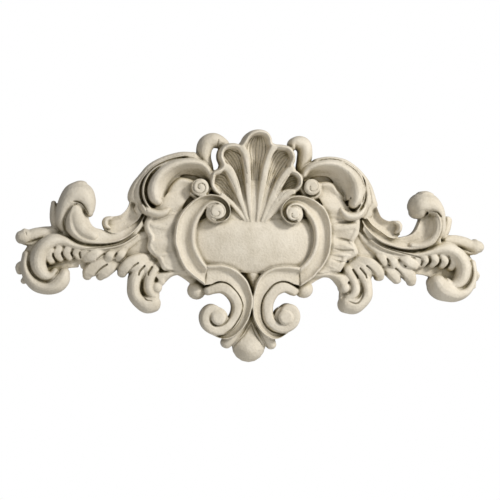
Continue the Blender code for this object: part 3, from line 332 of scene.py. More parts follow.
# The shell over the panel: five hollow flutes with fine grooves, ribs between them that come together at
# the panel's edge, and one bead round all the lobes.
FLUTE = [(-1, 1.0), (-0.8, 0.84), (-0.5, 0.7), (0, 0.62), (0.5, 0.7), (0.8, 0.84), (1, 1.0)]
RIBS = [
    [(-19, 46, 2.5, 41), (-27, 56, 4, 43), (-40, 72, 5, 47), (-53, 84, 6, 51), (-70, 97, 6, 55)],
    [(-15, 46, 3, 42), (-24, 70, 5, 45), (-34, 97, 7, 49), (-44, 124, 9, 53), (-55, 146, 9, 57),
     (-66, 153, 8, 58)],
    [(-9, 46, 3, 42), (-12, 70, 5, 45), (-15, 97, 6.5, 48), (-17, 125, 7, 51), (-20, 155, 7, 55),
     (-24, 178, 7, 58), (-32, 192, 8, 60)],
    [(3, 46, 3, 42), (6, 70, 5, 45), (9, 97, 7, 48), (13, 125, 7.5, 51), (18, 155, 7, 55),
     (25, 180, 6.5, 58), (33, 194, 8, 60)],
    [(12, 46, 3, 42), (22, 70, 6, 45), (34, 97, 9, 49), (47, 124, 9, 53), (61, 145, 8, 57),
     (71, 151, 8, 58)],
    [(18, 46, 2.5, 42), (28, 60, 7, 45), (42, 80, 12, 49), (55, 97, 12, 52), (66, 104, 8, 54),
     (74, 106, 6, 55)],
]
FLUTE_HEIGHTS = (38, 40, 42, 44, 46, 50)
FLUTE_BASES = (39, 42, 38, 26, 9, 9)
FLUTE_ARCHES = [
    ([(-80, 106), (-87, 116), (-88, 127)], [(-75, 143), (-84, 137), (-88, 128)]),
    ([(-68, 160), (-72, 172), (-67, 186)], [(-45, 194), (-58, 192), (-66, 187)]),
    ([(-26, 200), (-18, 212), (1, 221)], [(25, 200), (18, 214), (4, 221)]),
    ([(45, 193), (59, 190), (67, 184)], [(68, 161), (71, 172), (68, 183)]),
    ([(79, 142), (86, 134), (88, 127)], [(80, 111), (86, 119), (88, 126)]),
]
SHELL_RIM = [
    (-60, 84, 5, 44), (-70, 96, 6, 50), (-80, 105, 6, 55), (-87, 116, 6, 58), (-87, 128, 6, 60),
    (-84, 138, 6, 60), (-74, 143, 6, 60), (-64, 152, 6, 58), (-67, 161, 6, 60), (-71, 172, 6, 61),
    (-69, 184, 6, 62), (-60, 192, 6, 62), (-46, 194, 6, 62), (-33, 192, 6, 60), (-25, 200, 6, 60),
    (-19, 211, 6, 62), (-10, 219, 6, 63), (3, 222, 6, 63), (16, 219, 6, 63), (23, 210, 6, 62),
    (26, 199, 6, 60), (36, 194, 6, 60), (50, 193, 6, 62), (62, 190, 6, 62), (69, 181, 6, 61),
    (71, 170, 6, 60), (67, 159, 6, 58), (68, 147, 6, 58), (78, 142, 6, 60), (86, 133, 6, 60),
    (86, 120, 6, 58), (79, 111, 6, 55), (68, 102, 6, 50),
]
for before, after, (first_arch, second_arch) in zip(RIBS, RIBS[1:], FLUTE_ARCHES):
    first = [row[:2] for row in before] + first_arch
    second = [row[:2] for row in after] + second_arch
    band((first, second), FLUTE_HEIGHTS, FLUTE)
    band((first, second), FLUTE_BASES, SHEET)
for rib in RIBS:
    roll(rib, FLAT_ROLL)
roll(SHELL_RIM)

# The handles, two plain stems that rise beside the shell and roll over behind its rim. Each leaves an
# opening through the casting between itself and the shell.
HANDLES = {
    "left": [
        (-90, 138, 9, 30), (-94, 154, 10, 36), (-101, 170, 13, 40), (-102, 186, 15, 43), (-97, 199, 16, 44),
        (-85, 205, 15, 44), (-73, 203, 13, 42), (-62, 198, 10, 38),
    ],
    "right": [
        (90, 140, 9, 30), (93, 156, 11, 36), (98, 172, 14, 40), (99, 187, 14, 43), (95, 200, 15, 44),
        (84, 204, 14, 44), (74, 202, 10, 42), (72, 193, 7, 40),
    ],
}
for side in SIDES:
    roll(HANDLES[side])

# The big C-scrolls at the shoulders: a leaf round the outside, a thin fillet, a thick roll, a lip under its
# end, and a disc at the near end.
C_LEAF = {
    "left": (
        [(-104, 160), (-118, 179), (-130, 181), (-147, 181), (-162, 178), (-178, 173), (-192, 167),
         (-206, 159), (-217, 150), (-225, 140), (-233, 130), (-240, 121), (-247, 108), (-251, 94),
         (-249, 82), (-238, 76), (-240, 66), (-232, 53)],
        [(-100, 150), (-123, 167), (-142, 170), (-159, 166), (-178, 159), (-192, 153), (-203, 146),
         (-215, 134), (-222, 123), (-226, 112), (-227, 99), (-225, 86), (-220, 74), (-213, 62)],
    ),
    "right": (
        [(104, 158), (118, 172), (130, 176), (142, 178), (156, 178), (169, 176), (180, 173), (191, 167),
         (202, 159), (212, 150), (220, 141), (227, 132), (234, 120), (239, 107), (243, 94), (246, 82),
         (237, 73), (237, 64), (228, 53)],
        [(102, 152), (118, 167), (134, 171), (150, 172), (167, 169), (183, 163), (197, 153), (208, 140),
         (215, 127), (217, 112), (217, 96), (213, 84), (207, 72), (202, 62)],
    ),
}
C_LEAF_HEIGHTS = (40, 44, 45, 45, 45, 43, 40, 34)
C_FILLET = {
    "left": [
        (-178, 158, 2.5, 50), (-196, 149, 3.5, 52), (-208, 139, 3.5, 53), (-216, 127, 3.5, 53),
        (-221, 113, 3.5, 53), (-222, 99, 3.5, 52), (-219, 86, 3.5, 51), (-213, 74, 3.5, 49),
        (-205, 65, 3.5, 47),
    ],
    "right": [
        (168, 168, 2.5, 50), (184, 161, 3.5, 52), (197, 151, 3.5, 53), (207, 138, 3.5, 53),
        (213, 124, 3.5, 53), (214, 109, 3.5, 52), (213, 94, 3.5, 51), (208, 81, 3.5, 49),
        (201, 70, 3.5, 47),
    ],
}
C_ROLL = {
    "left": [
        (-90, 134, 8, 48), (-96, 146, 8, 52), (-108, 156, 8, 56), (-122, 160, 9, 59), (-140, 160, 9, 61),
        (-158, 156, 10, 62), (-175, 148, 11, 63), (-189, 136, 12, 64), (-198, 121, 14, 64),
        (-202, 105, 15, 64), (-200, 91, 14, 62), (-193, 81, 10, 56),
    ],
    "right": [
        (93, 138, 8, 48), (99, 149, 8, 52), (108, 156, 8, 56), (122, 161, 8, 59), (140, 163, 9, 61),
        (157, 161, 10, 62), (172, 154, 11, 63), (186, 143, 13, 64), (196, 128, 15, 64), (200, 111, 16, 64),
        (200, 96, 14, 62), (194, 83, 10, 58),
    ],
}
C_LIP = {
    "left": [
        (-224, 74, 5, 46), (-216, 65, 9, 50), (-203, 60, 10, 52), (-190, 58, 10, 52), (-178, 62, 9, 50),
        (-172, 67, 7, 46),
    ],
    "right": [
        (217, 78, 5, 46), (208, 66, 9, 50), (196, 60, 10, 52), (184, 60, 10, 52), (175, 66, 9, 50),
        (170, 73, 7, 46),
    ],
}
C_DISCS = {"left": (-111, 111, 17, 57), "right": (109, 116, 16, 56)}
C_DISC_BANDS = {
    "left": [
        (-94, 136, 6, 44), (-90, 124, 5, 46), (-92, 108, 5, 46), (-101, 94, 5, 46), (-116, 91, 5, 46),
        (-128, 99, 5, 46),
    ],
    "right": [
        (92, 138, 6, 44), (88, 124, 5, 46), (91, 108, 5, 46), (101, 97, 5, 46), (116, 96, 6, 46),
        (126, 106, 6, 48), (124, 122, 5, 48),
    ],
}
C_FLOOR = {
    "left": (
        [(-92, 140), (-110, 160), (-150, 168), (-190, 150), (-222, 110), (-222, 60)],
        [(-92, 100), (-120, 98), (-140, 90), (-160, 78), (-180, 60), (-190, 46)],
    ),
    "right": (
        [(92, 140), (110, 160), (150, 168), (190, 152), (216, 112), (214, 60)],
        [(92, 100), (120, 98), (140, 92), (158, 78), (176, 60), (186, 46)],
    ),
}
C_FLOOR_HEIGHT = 16
RIM_LEAF = [
    (-1, 0.55), (-0.85, 0.7), (-0.5, 0.8), (-0.2, 0.86), (0, 0.8), (0.2, 0.9), (0.5, 1.0), (0.8, 0.98),
    (1, 0.8),
]
SLOPE = [(-1, 0.98), (-0.6, 0.8), (-0.1, 0.6), (0.4, 0.47), (1, 0.42)]
C_COVE = {
    "left": (
        [(-92, 132), (-98, 142), (-110, 151), (-128, 154), (-146, 153), (-162, 147), (-176, 137),
         (-185, 122), (-189, 106), (-188, 90)],
        [(-98, 118), (-103, 126), (-114, 133), (-128, 136), (-142, 136), (-152, 130), (-160, 121),
         (-166, 110), (-171, 99), (-175, 86)],
    ),
    "right": (
        [(94, 134), (100, 145), (111, 154), (128, 157), (146, 157), (162, 152), (175, 142), (184, 128),
         (187, 112), (186, 94)],
        [(98, 120), (104, 130), (115, 137), (130, 139), (144, 138), (153, 131), (160, 121), (166, 110),
         (171, 99), (175, 86)],
    ),
}
C_COVE_HEIGHTS = (46, 50, 52, 52, 50)
TURNED_SHEET = [(-1, 0.86), (-0.88, 1.0), (-0.65, 0.98), (-0.25, 0.86), (0.3, 0.8), (1, 0.82)]
TURNED_EDGE = {
    "left": (
        [(-176, 86), (-169, 104), (-162, 116), (-152, 127), (-140, 127), (-126, 124), (-108, 128)],
        [(-178, 66), (-162, 74), (-150, 82), (-140, 88), (-130, 92), (-118, 94), (-102, 98)],
    ),
    "right": (
        [(180, 88), (170, 102), (161, 112), (153, 123), (142, 126), (128, 125), (110, 130)],
        [(178, 66), (162, 74), (150, 82), (140, 88), (130, 92), (118, 94), (100, 98)],
    ),
}
TURNED_EDGE_HEIGHTS = (28, 32, 36, 38, 38, 36, 32)
CREST = {
    "left": [
        (-172, 92, 5, 28), (-168, 106, 5, 33), (-160, 117, 5, 36), (-150, 125, 5, 37), (-138, 125, 5, 36),
        (-126, 122, 5, 32),
    ],
    "right": [
        (178, 94, 5, 28), (168, 103, 5, 33), (159, 111, 5, 36), (152, 121, 5, 37), (142, 124, 5, 36),
        (128, 123, 5, 32),
    ],
}
for side in SIDES:
    slab(C_FLOOR[side], C_FLOOR_HEIGHT)
    band(C_LEAF[side], C_LEAF_HEIGHTS, RIM_LEAF)
    band(C_COVE[side], C_COVE_HEIGHTS, SLOPE)
    band(TURNED_EDGE[side], TURNED_EDGE_HEIGHTS, TURNED_SHEET)
    for stroke in (C_FILLET, C_ROLL, C_LIP, C_DISC_BANDS, CREST):
        roll(stroke[side])
    button(*C_DISCS[side])

# The ruffled sheets, which spread from behind the frame to a wavy, thickened edge, with soft folds that run
# out to the points of the waves.
RUFFLE = {
    "left": (
        [(-110, 118), (-140, 80), (-146, 60), (-150, 40), (-150, 20), (-150, 0), (-146, -18), (-140, -34),
         (-132, -48), (-128, -54)],
        [(-160, 116), (-186, 84), (-204, 62), (-214, 48), (-218, 34), (-211, 16), (-210, 4), (-212, -8),
         (-204, -21), (-192, -29), (-187, -40), (-178, -53), (-160, -53), (-146, -56)],
    ),
    "right": (
        [(110, 120), (134, 80), (140, 60), (142, 40), (142, 20), (142, 0), (138, -18), (132, -34),
         (126, -46), (122, -52)],
        [(160, 112), (180, 84), (198, 62), (208, 46), (206, 26), (198, 9), (204, -4), (206, -12),
         (197, -21), (186, -25), (180, -35), (171, -49), (158, -52), (140, -54)],
    ),
}
RUFFLE_HEIGHTS = (30, 33, 37, 39, 35, 39, 34, 39, 34, 38, 34, 34)
RUFFLE_FOLDS = {
    "left": [
        [(-150, 56, 9, 34), (-178, 60, 12, 39), (-200, 56, 10, 40)],
        [(-156, 32, 9, 35), (-184, 33, 13, 40), (-205, 36, 11, 41)],
        [(-158, 6, 8, 35), (-184, 2, 11, 39), (-202, -1, 10, 40)],
        [(-156, -18, 7, 34), (-178, -21, 9, 38), (-194, -22, 8, 39)],
        [(-146, -37, 7, 34), (-164, -43, 10, 37), (-176, -47, 8, 38)],
    ],
    "right": [
        [(144, 60, 9, 35), (172, 62, 12, 40), (194, 58, 10, 40)],
        [(148, 34, 9, 36), (176, 36, 13, 42), (197, 42, 11, 42)],
        [(150, 4, 6, 36), (175, 2, 9, 41), (195, -4, 9, 41)],
        [(148, -15, 6, 36), (170, -16, 7, 39), (189, -18, 7, 39)],
        [(140, -36, 6, 35), (156, -41, 8, 38), (167, -44, 7, 38)],
    ],
}
RUFFLE_EDGE = {
    "left": [
        (-203, 52, 9, 39), (-211, 38, 9, 40), (-210, 26, 8, 40), (-203, 14, 8, 38), (-203, 3, 8, 39),
        (-205, -7, 8, 40), (-197, -18, 8, 38), (-186, -27, 8, 38), (-181, -38, 8, 39), (-172, -48, 7, 38),
        (-156, -49, 6, 35),
    ],
    "right": [
        (202, 52, 9, 39), (201, 37, 9, 41), (197, 23, 8, 40), (191, 10, 8, 38), (197, -3, 8, 40),
        (198, -11, 8, 40), (190, -18, 8, 38), (180, -23, 8, 38), (173, -34, 8, 39), (164, -45, 7, 38),
        (151, -47, 6, 35),
    ],
}
for side in SIDES:
    band(RUFFLE[side], RUFFLE_HEIGHTS, SHEET)
    roll(RUFFLE_EDGE[side])
    for fold in RUFFLE_FOLDS[side]:
        roll(fold)

# The wings' upper stems, which sweep out as a scoop with a raised rim and roll over in a curl. A fin stands
# behind each curl, and a small leaf turns up above the stem.
SCOOP = [
    (-1, 0.82), (-0.92, 0.96), (-0.78, 1.0), (-0.6, 0.9), (-0.35, 0.7), (0.1, 0.6), (0.6, 0.64), (1, 0.7),
]
TONGUE = [
    (-1, 0.6), (-0.85, 0.82), (-0.6, 0.96), (-0.2, 1.0), (0.2, 0.98), (0.6, 0.86), (0.85, 0.72), (1, 0.55),
]
HOLLOW = [
    (-1, 0.74), (-0.9, 0.93), (-0.74, 1.0), (-0.56, 0.9), (-0.3, 0.62), (0, 0.48), (0.5, 0.44), (1, 0.5),
]
STEM = {
    "left": (
        [(-217, 52), (-228, 33), (-241, 19), (-255, 8), (-271, 1), (-291, -3), (-308, -4), (-325, -4),
         (-340, -2), (-353, 4), (-364, 13), (-371, 25), (-373, 42), (-370, 56), (-362, 70)],
        [(-226, 60), (-233, 46), (-244, 34), (-256, 26), (-270, 19), (-285, 18), (-301, 25), (-313, 28),
         (-321, 34), (-326, 44), (-329, 53), (-334, 62), (-342, 72)],
    ),
    "right": (
        [(213, 52), (220, 38), (230, 26), (242, 16), (255, 8), (270, 3), (289, -2), (308, -4), (325, -3),
         (340, 0), (354, 6), (362, 15), (369, 29), (371, 45), (368, 59), (360, 71)],
        [(222, 62), (232, 46), (244, 36), (256, 28), (270, 22), (284, 20), (300, 22), (313, 26), (321, 33),
         (326, 42), (330, 52), (334, 62), (340, 72)],
    ),
}
STEM_HEIGHTS = (30, 38, 43, 46, 48, 50, 55, 60, 62, 60)
CURL = {
    "left": [
        (-376, 20, 8, 32), (-381, 38, 10, 44), (-378, 57, 13, 54), (-370, 75, 18, 60), (-356, 89, 25, 64),
        (-342, 90, 26, 65), (-332, 78, 20, 62), (-327, 65, 13, 57), (-326, 56, 8, 52),
    ],
    "right": [
        (369, 20, 8, 32), (374, 38, 9, 44), (372, 57, 11, 52), (365, 74, 15, 60), (351, 86, 21, 64),
        (336, 86, 24, 65), (329, 79, 21, 63), (327, 71, 15, 58),
    ],
}
STEM_ROLLS = {
    "left": [
        (-318, 12, 13, 52), (-336, 22, 18, 57), (-347, 36, 21, 60), (-352, 52, 20, 61), (-351, 66, 17, 58),
    ],
    "right": [
        (312, 4, 7, 50), (332, 5, 8, 53), (348, 12, 9, 56), (359, 26, 9, 58), (363, 44, 8, 58),
        (361, 60, 8, 56),
    ],
}
STEM_TIPS = {"left": TONGUE, "right": HOLLOW}
CURL_FINS = {
    "left": [
        [(-384, 20, 9, 20), (-392, 40, 10, 22), (-394, 60, 9, 22), (-396, 76, 5, 18)],
        [(-360, 111, 4, 44), (-347, 115, 5, 46), (-337, 113, 6, 46), (-333, 108, 4, 44)],
    ],
    "right": [
        [(380, 22, 9, 20), (387, 40, 10, 22), (391, 57, 9, 22)],
        [(328, 100, 4, 44), (333, 106, 6, 46), (343, 109, 5, 46), (354, 106, 4, 44)],
    ],
}
LITTLE_LEAF = {
    "left": (
        [(-246, 84), (-250, 71), (-256, 62), (-266, 54), (-281, 51), (-294, 50), (-300, 42)],
        [(-222, 60), (-230, 46), (-244, 34), (-258, 24), (-272, 18), (-286, 20), (-298, 27)],
    ),
    "right": (
        [(244, 80), (249, 66), (255, 58), (265, 53), (277, 53), (288, 53), (295, 44)],
        [(222, 60), (232, 46), (244, 36), (256, 28), (268, 20), (280, 18), (291, 26)],
    ),
}
LITTLE_LEAF_HEIGHTS = (30, 32, 33, 33, 35, 36)
LITTLE_LEAF_TIPS = {
    "left": [(-284, 48, 4, 40), (-293, 44, 6, 42), (-294, 34, 6, 42), (-286, 28, 4, 36)],
    "right": [(280, 50, 4, 40), (288, 46, 6, 42), (289, 36, 6, 42), (282, 29, 4, 36)],
}
for side in SIDES:
    band(STEM[side], STEM_HEIGHTS, SCOOP, last=STEM_TIPS[side])
    roll(CURL[side], DOME)
    roll(STEM_ROLLS[side], DOME)
    for fin in CURL_FINS[side]:
        roll(fin)
    band(LITTLE_LEAF[side], LITTLE_LEAF_HEIGHTS, FLUTE)
    roll(LITTLE_LEAF_TIPS[side])

# The wings' broad leaves, which run out under the stems and roll down in a scroll, with lobes inside the
# roll, leaf fingers along the lower edge and one finger that points outwards.
LOBE = [
    (-1, 0.6), (-0.88, 0.84), (-0.66, 0.97), (-0.3, 1.0), (0.3, 1.0), (0.66, 0.97), (0.88, 0.84), (1, 0.6),
]
MAIN_LEAF = {
    "left": (
        [(-206, 26), (-226, 28), (-240, 14), (-256, 3), (-272, -4), (-292, -8), (-320, -8), (-344, -4),
         (-362, 6), (-380, 17), (-399, 19), (-411, 16), (-423, 9), (-435, 0), (-446, -11), (-453, -24),
         (-456, -38)],
        [(-206, 6), (-226, 1), (-243, -13), (-258, -23), (-280, -24), (-301, -24), (-325, -22), (-347, -21),
         (-368, -19), (-386, -25), (-400, -34), (-410, -42)],
    ),
    "right": (
        [(202, 36), (214, 34), (228, 22), (244, 10), (258, 2), (274, -4), (292, -8), (320, -9), (342, -5),
         (362, 6), (378, 14), (392, 13), (406, 8), (418, 2), (430, -8), (442, -22), (447, -38)],
        [(202, 26), (208, 17), (214, 7), (227, -5), (240, -16), (255, -26), (278, -24), (300, -23),
         (325, -24), (345, -22), (365, -22), (385, -24), (398, -34), (404, -44)],
    ),
}
MAIN_LEAF_HEIGHTS = (24, 27, 31, 34, 35, 36, 36, 34, 32, 30)
MAIN_ROLL = {
    "left": [
        (-232, 16, 4, 36), (-258, -1, 5, 39), (-290, -10, 6, 41), (-322, -12, 7, 43), (-350, -8, 9, 47),
        (-374, 1, 12, 51), (-392, 2, 14, 55), (-407, -5, 15, 57), (-418, -17, 16, 58), (-424, -31, 17, 58),
        (-424, -46, 17, 57), (-419, -59, 16, 56), (-408, -68, 14, 55), (-397, -67, 11, 53),
        (-390, -58, 8, 50),
    ],
    "right": [
        (232, 14, 4, 36), (258, -1, 5, 39), (290, -10, 6, 41), (322, -14, 7, 43), (348, -9, 9, 47),
        (370, -3, 12, 51), (388, -3, 14, 55), (403, -10, 15, 57), (413, -21, 16, 58), (419, -36, 16, 58),
        (419, -51, 16, 57), (414, -64, 15, 56), (404, -73, 13, 55), (394, -74, 11, 53), (387, -66, 8, 50),
    ],
}
LOWER_BULB = {
    "left": [
        (-446, -26, 9, 40), (-449, -48, 9, 46), (-442, -69, 11, 52), (-427, -85, 13, 57),
        (-406, -91, 13, 61), (-388, -85, 16, 63), (-377, -73, 16, 62), (-372, -61, 11, 58),
    ],
    "right": [
        (439, -28, 8, 40), (441, -50, 8, 46), (436, -70, 9, 52), (423, -86, 11, 57), (404, -91, 16, 61),
        (385, -85, 21, 64), (373, -77, 21, 64), (367, -68, 17, 60),
    ],
}
SCOOP_FLOOR = {
    "left": (
        [(-340, -20), (-370, -10), (-410, -10), (-440, -30), (-448, -56)],
        [(-345, -50), (-372, -54), (-388, -70), (-402, -90), (-430, -86)],
    ),
    "right": (
        [(322, -20), (365, -12), (404, -14), (434, -34), (442, -60)],
        [(318, -52), (350, -56), (380, -72), (396, -94), (424, -88)],
    ),
}
SCOOP_FLOOR_HEIGHT = 20
BACK_LOBES = {
    "left": [
        [(-424, 2, 12, 26), (-441, -1, 9, 28), (-456, 2, 6, 28)],
        [(-448, -44, 8, 22), (-460, -50, 8, 22), (-459, -60, 7, 18)],
        [(-444, -70, 8, 18), (-452, -79, 6, 16)],
    ],
    "right": [
        [(422, 0, 12, 26), (438, -4, 9, 28), (452, -1, 6, 28)],
        [(440, -46, 8, 22), (450, -52, 8, 22), (450, -60, 6, 18)],
        [(434, -66, 8, 18), (446, -73, 7, 16), (441, -78, 5, 16)],
    ],
}
FAR_FINGER = {
    "left": [
        (-392, 14, 16, 26), (-412, 13, 16, 30), (-430, 12, 14, 33), (-440, 10, 13, 34), (-449, 8, 17, 38),
        (-458, 7, 13, 38),
    ],
    "right": [
        (390, 12, 14, 26), (408, 13, 14, 30), (426, 10, 13, 33), (437, 6, 12, 35), (446, 4, 16, 38),
        (454, 4, 12, 38),
    ],
}
FINGERS = {
    "left": [
        [(-332, -10, 10, 41), (-338, -22, 10, 37), (-340, -31, 7, 33)],
        [(-400, -14, 9, 46), (-404, -28, 10, 45), (-397, -40, 8, 38)],
        [(-383, -10, 9, 45), (-387, -24, 10, 44), (-380, -35, 7, 37)],
        [(-365, -10, 9, 44), (-369, -22, 10, 43), (-362, -32, 7, 36)],
        [(-347, -12, 9, 43), (-351, -22, 9, 41), (-344, -30, 7, 35)],
        [(-292, -14, 8, 31), (-308, -22, 13, 42), (-323, -28, 13, 41), (-332, -33, 9, 37)],
        [(-272, -14, 8, 30), (-284, -25, 12, 40), (-290, -34, 9, 36)],
        [(-254, -12, 7, 29), (-264, -24, 11, 38), (-268, -33, 8, 33)],
        [(-268, -30, 9, 22), (-292, -38, 15, 33), (-313, -48, 16, 33), (-325, -60, 13, 31),
         (-328, -67, 9, 27)],
        [(-258, -32, 8, 20), (-281, -46, 13, 31), (-296, -60, 12, 30), (-303, -68, 8, 25)],
        [(-208, -26, 8, 26), (-230, -33, 13, 39), (-247, -42, 14, 41), (-257, -53, 12, 38),
         (-260, -61, 9, 33)],
        [(-206, -32, 7, 25), (-223, -43, 11, 37), (-234, -54, 10, 36), (-238, -61, 7, 31)],
        [(-198, -36, 7, 24), (-211, -48, 11, 36), (-218, -58, 9, 33), (-218, -64, 6, 29)],
        [(-186, -36, 7, 22), (-195, -50, 10, 33), (-200, -61, 7, 30)],
    ],
    "right": [
        [(325, -12, 10, 41), (330, -24, 10, 37), (332, -34, 7, 33)],
        [(395, -12, 9, 46), (400, -27, 10, 45), (395, -39, 8, 38)],
        [(375, -12, 9, 45), (381, -25, 10, 44), (376, -36, 7, 37)],
        [(356, -12, 9, 44), (362, -24, 10, 43), (356, -34, 7, 36)],
        [(337, -14, 9, 43), (342, -25, 9, 41), (337, -33, 7, 35)],
        [(286, -16, 8, 31), (302, -24, 12, 42), (316, -31, 12, 41), (324, -36, 9, 37)],
        [(266, -16, 8, 30), (277, -27, 11, 40), (282, -37, 9, 36)],
        [(248, -14, 7, 29), (257, -25, 10, 38), (261, -34, 8, 33)],
        [(252, -31, 8, 20), (271, -43, 12, 31), (284, -57, 11, 30), (290, -66, 8, 25)],
        [(262, -28, 9, 22), (289, -37, 14, 33), (308, -49, 14, 33), (317, -62, 11, 31), (319, -70, 8, 27)],
        [(206, -22, 8, 26), (227, -32, 13, 39), (242, -42, 13, 41), (251, -53, 11, 38), (253, -60, 9, 33)],
        [(200, -28, 7, 25), (216, -40, 11, 37), (228, -52, 10, 36), (231, -59, 7, 31)],
        [(194, -34, 7, 24), (207, -46, 10, 36), (215, -58, 8, 33), (216, -63, 6, 29)],
        [(180, -34, 7, 22), (189, -48, 10, 33), (197, -61, 7, 30)],
    ],
}
WEBS = {
    "left": [
        ([(-150, 110), (-185, 80), (-214, 60), (-236, 34)],
         [(-110, 90), (-150, 40), (-196, -12), (-230, -12)]),
        ([(-366, 84), (-376, 60), (-366, 30)], [(-336, 82), (-340, 60), (-330, 20)]),
        ([(-130, -46), (-170, -52), (-214, -44)], [(-100, -96), (-160, -60), (-206, -96)]),
        ([(-196, -10), (-226, 0), (-262, -16), (-300, -22), (-350, -18)],
         [(-190, -40), (-214, -42), (-250, -46), (-292, -50), (-340, -52)]),
    ],
    "right": [
        ([(150, 110), (180, 84), (208, 64), (226, 34)], [(106, 90), (142, 40), (190, -14), (224, -12)]),
        ([(360, 84), (368, 60), (360, 30)], [(330, 82), (334, 60), (326, 20)]),
        ([(122, -46), (160, -52), (204, -44)], [(90, -92), (150, -60), (196, -92)]),
        ([(196, -10), (226, -2), (260, -16), (300, -22), (335, -20)],
         [(186, -40), (212, -44), (244, -42), (290, -48), (322, -52)]),
    ],
}
WEB_HEIGHT = 21
SEAMS = {
    "left": (
        [(-222, 44), (-241, 18), (-256, 8), (-292, -2), (-345, 2), (-374, 24)],
        [(-220, 34), (-241, 8), (-256, -8), (-292, -14), (-345, -10), (-378, 6)],
    ),
    "right": (
        [(218, 44), (232, 26), (256, 8), (290, -2), (345, 2), (372, 24)],
        [(215, 34), (232, 12), (256, -8), (292, -14), (345, -10), (376, 4)],
    ),
}
SEAM_HEIGHT = 32
for side in SIDES:
    band(MAIN_LEAF[side], MAIN_LEAF_HEIGHTS, DOME)
    roll(MAIN_ROLL[side])
    roll(LOWER_BULB[side])
    slab(SCOOP_FLOOR[side], SCOOP_FLOOR_HEIGHT)
    roll(FAR_FINGER[side], DOME)
    for lobe in BACK_LOBES[side] + FINGERS[side]:
        roll(lobe, LOBE)
    slab(SEAMS[side], SEAM_HEIGHT)
    for web in WEBS[side]:
        slab(web, WEB_HEIGHT)

# The drops under the ruffles: on each side a strap from the frame's corner, a hanging curl of leaf cut in
# two steps, and two small balls where it turns in.
STRAPS = {
    "left": (
        [(-128, -40), (-139, -47), (-150, -49), (-173, -54), (-200, -56)],
        [(-122, -66), (-136, -64), (-150, -62), (-164, -67), (-180, -84)],
    ),
    "right": (
        [(122, -40), (133, -48), (150, -50), (171, -51), (196, -56)],
        [(116, -66), (130, -64), (143, -62), (158, -66), (176, -88)],
    ),
}
STRAP_HEIGHTS = (30, 32, 34, 36, 36)
DROPS = {
    "left": [
        [(-216, -46, 14, 34), (-231, -64, 15, 40), (-236, -83, 13, 44), (-235, -100, 13, 46),
         (-226, -113, 14, 47), (-211, -120, 18, 48), (-198, -118, 18, 46)],
        [(-198, -52, 12, 36), (-206, -70, 13, 41), (-208, -87, 12, 44), (-203, -99, 11, 44),
         (-194, -105, 10, 41)],
    ],
    "right": [
        [(208, -46, 14, 34), (221, -64, 14, 40), (226, -82, 12, 44), (225, -97, 13, 46),
         (216, -109, 14, 47), (202, -116, 18, 48), (187, -115, 18, 46)],
        [(190, -52, 12, 36), (200, -70, 12, 41), (203, -85, 12, 44), (198, -97, 11, 44),
         (188, -102, 10, 41)],
    ],
}
DROP_FLOORS = {
    "left": (
        [(-226, -44), (-240, -70), (-240, -104), (-218, -128)],
        [(-186, -50), (-186, -80), (-186, -108), (-190, -126)],
    ),
    "right": (
        [(216, -44), (230, -68), (230, -98), (210, -124)],
        [(178, -50), (176, -78), (174, -104), (178, -122)],
    ),
}
DROP_FLOOR_HEIGHT = 27
DROP_BALLS = {
    "left": [(-192, -87, 11, 42), (-183, -75, 8, 38)],
    "right": [(182, -82, 11, 42), (176, -70, 8, 38)],
}
for side in SIDES:
    band(STRAPS[side], STRAP_HEIGHTS, DOME)
    slab(DROP_FLOORS[side], DROP_FLOOR_HEIGHT)
    for lobe in DROPS[side]:
        roll(lobe)
    for ball in DROP_BALLS[side]:
        knob(*ball)

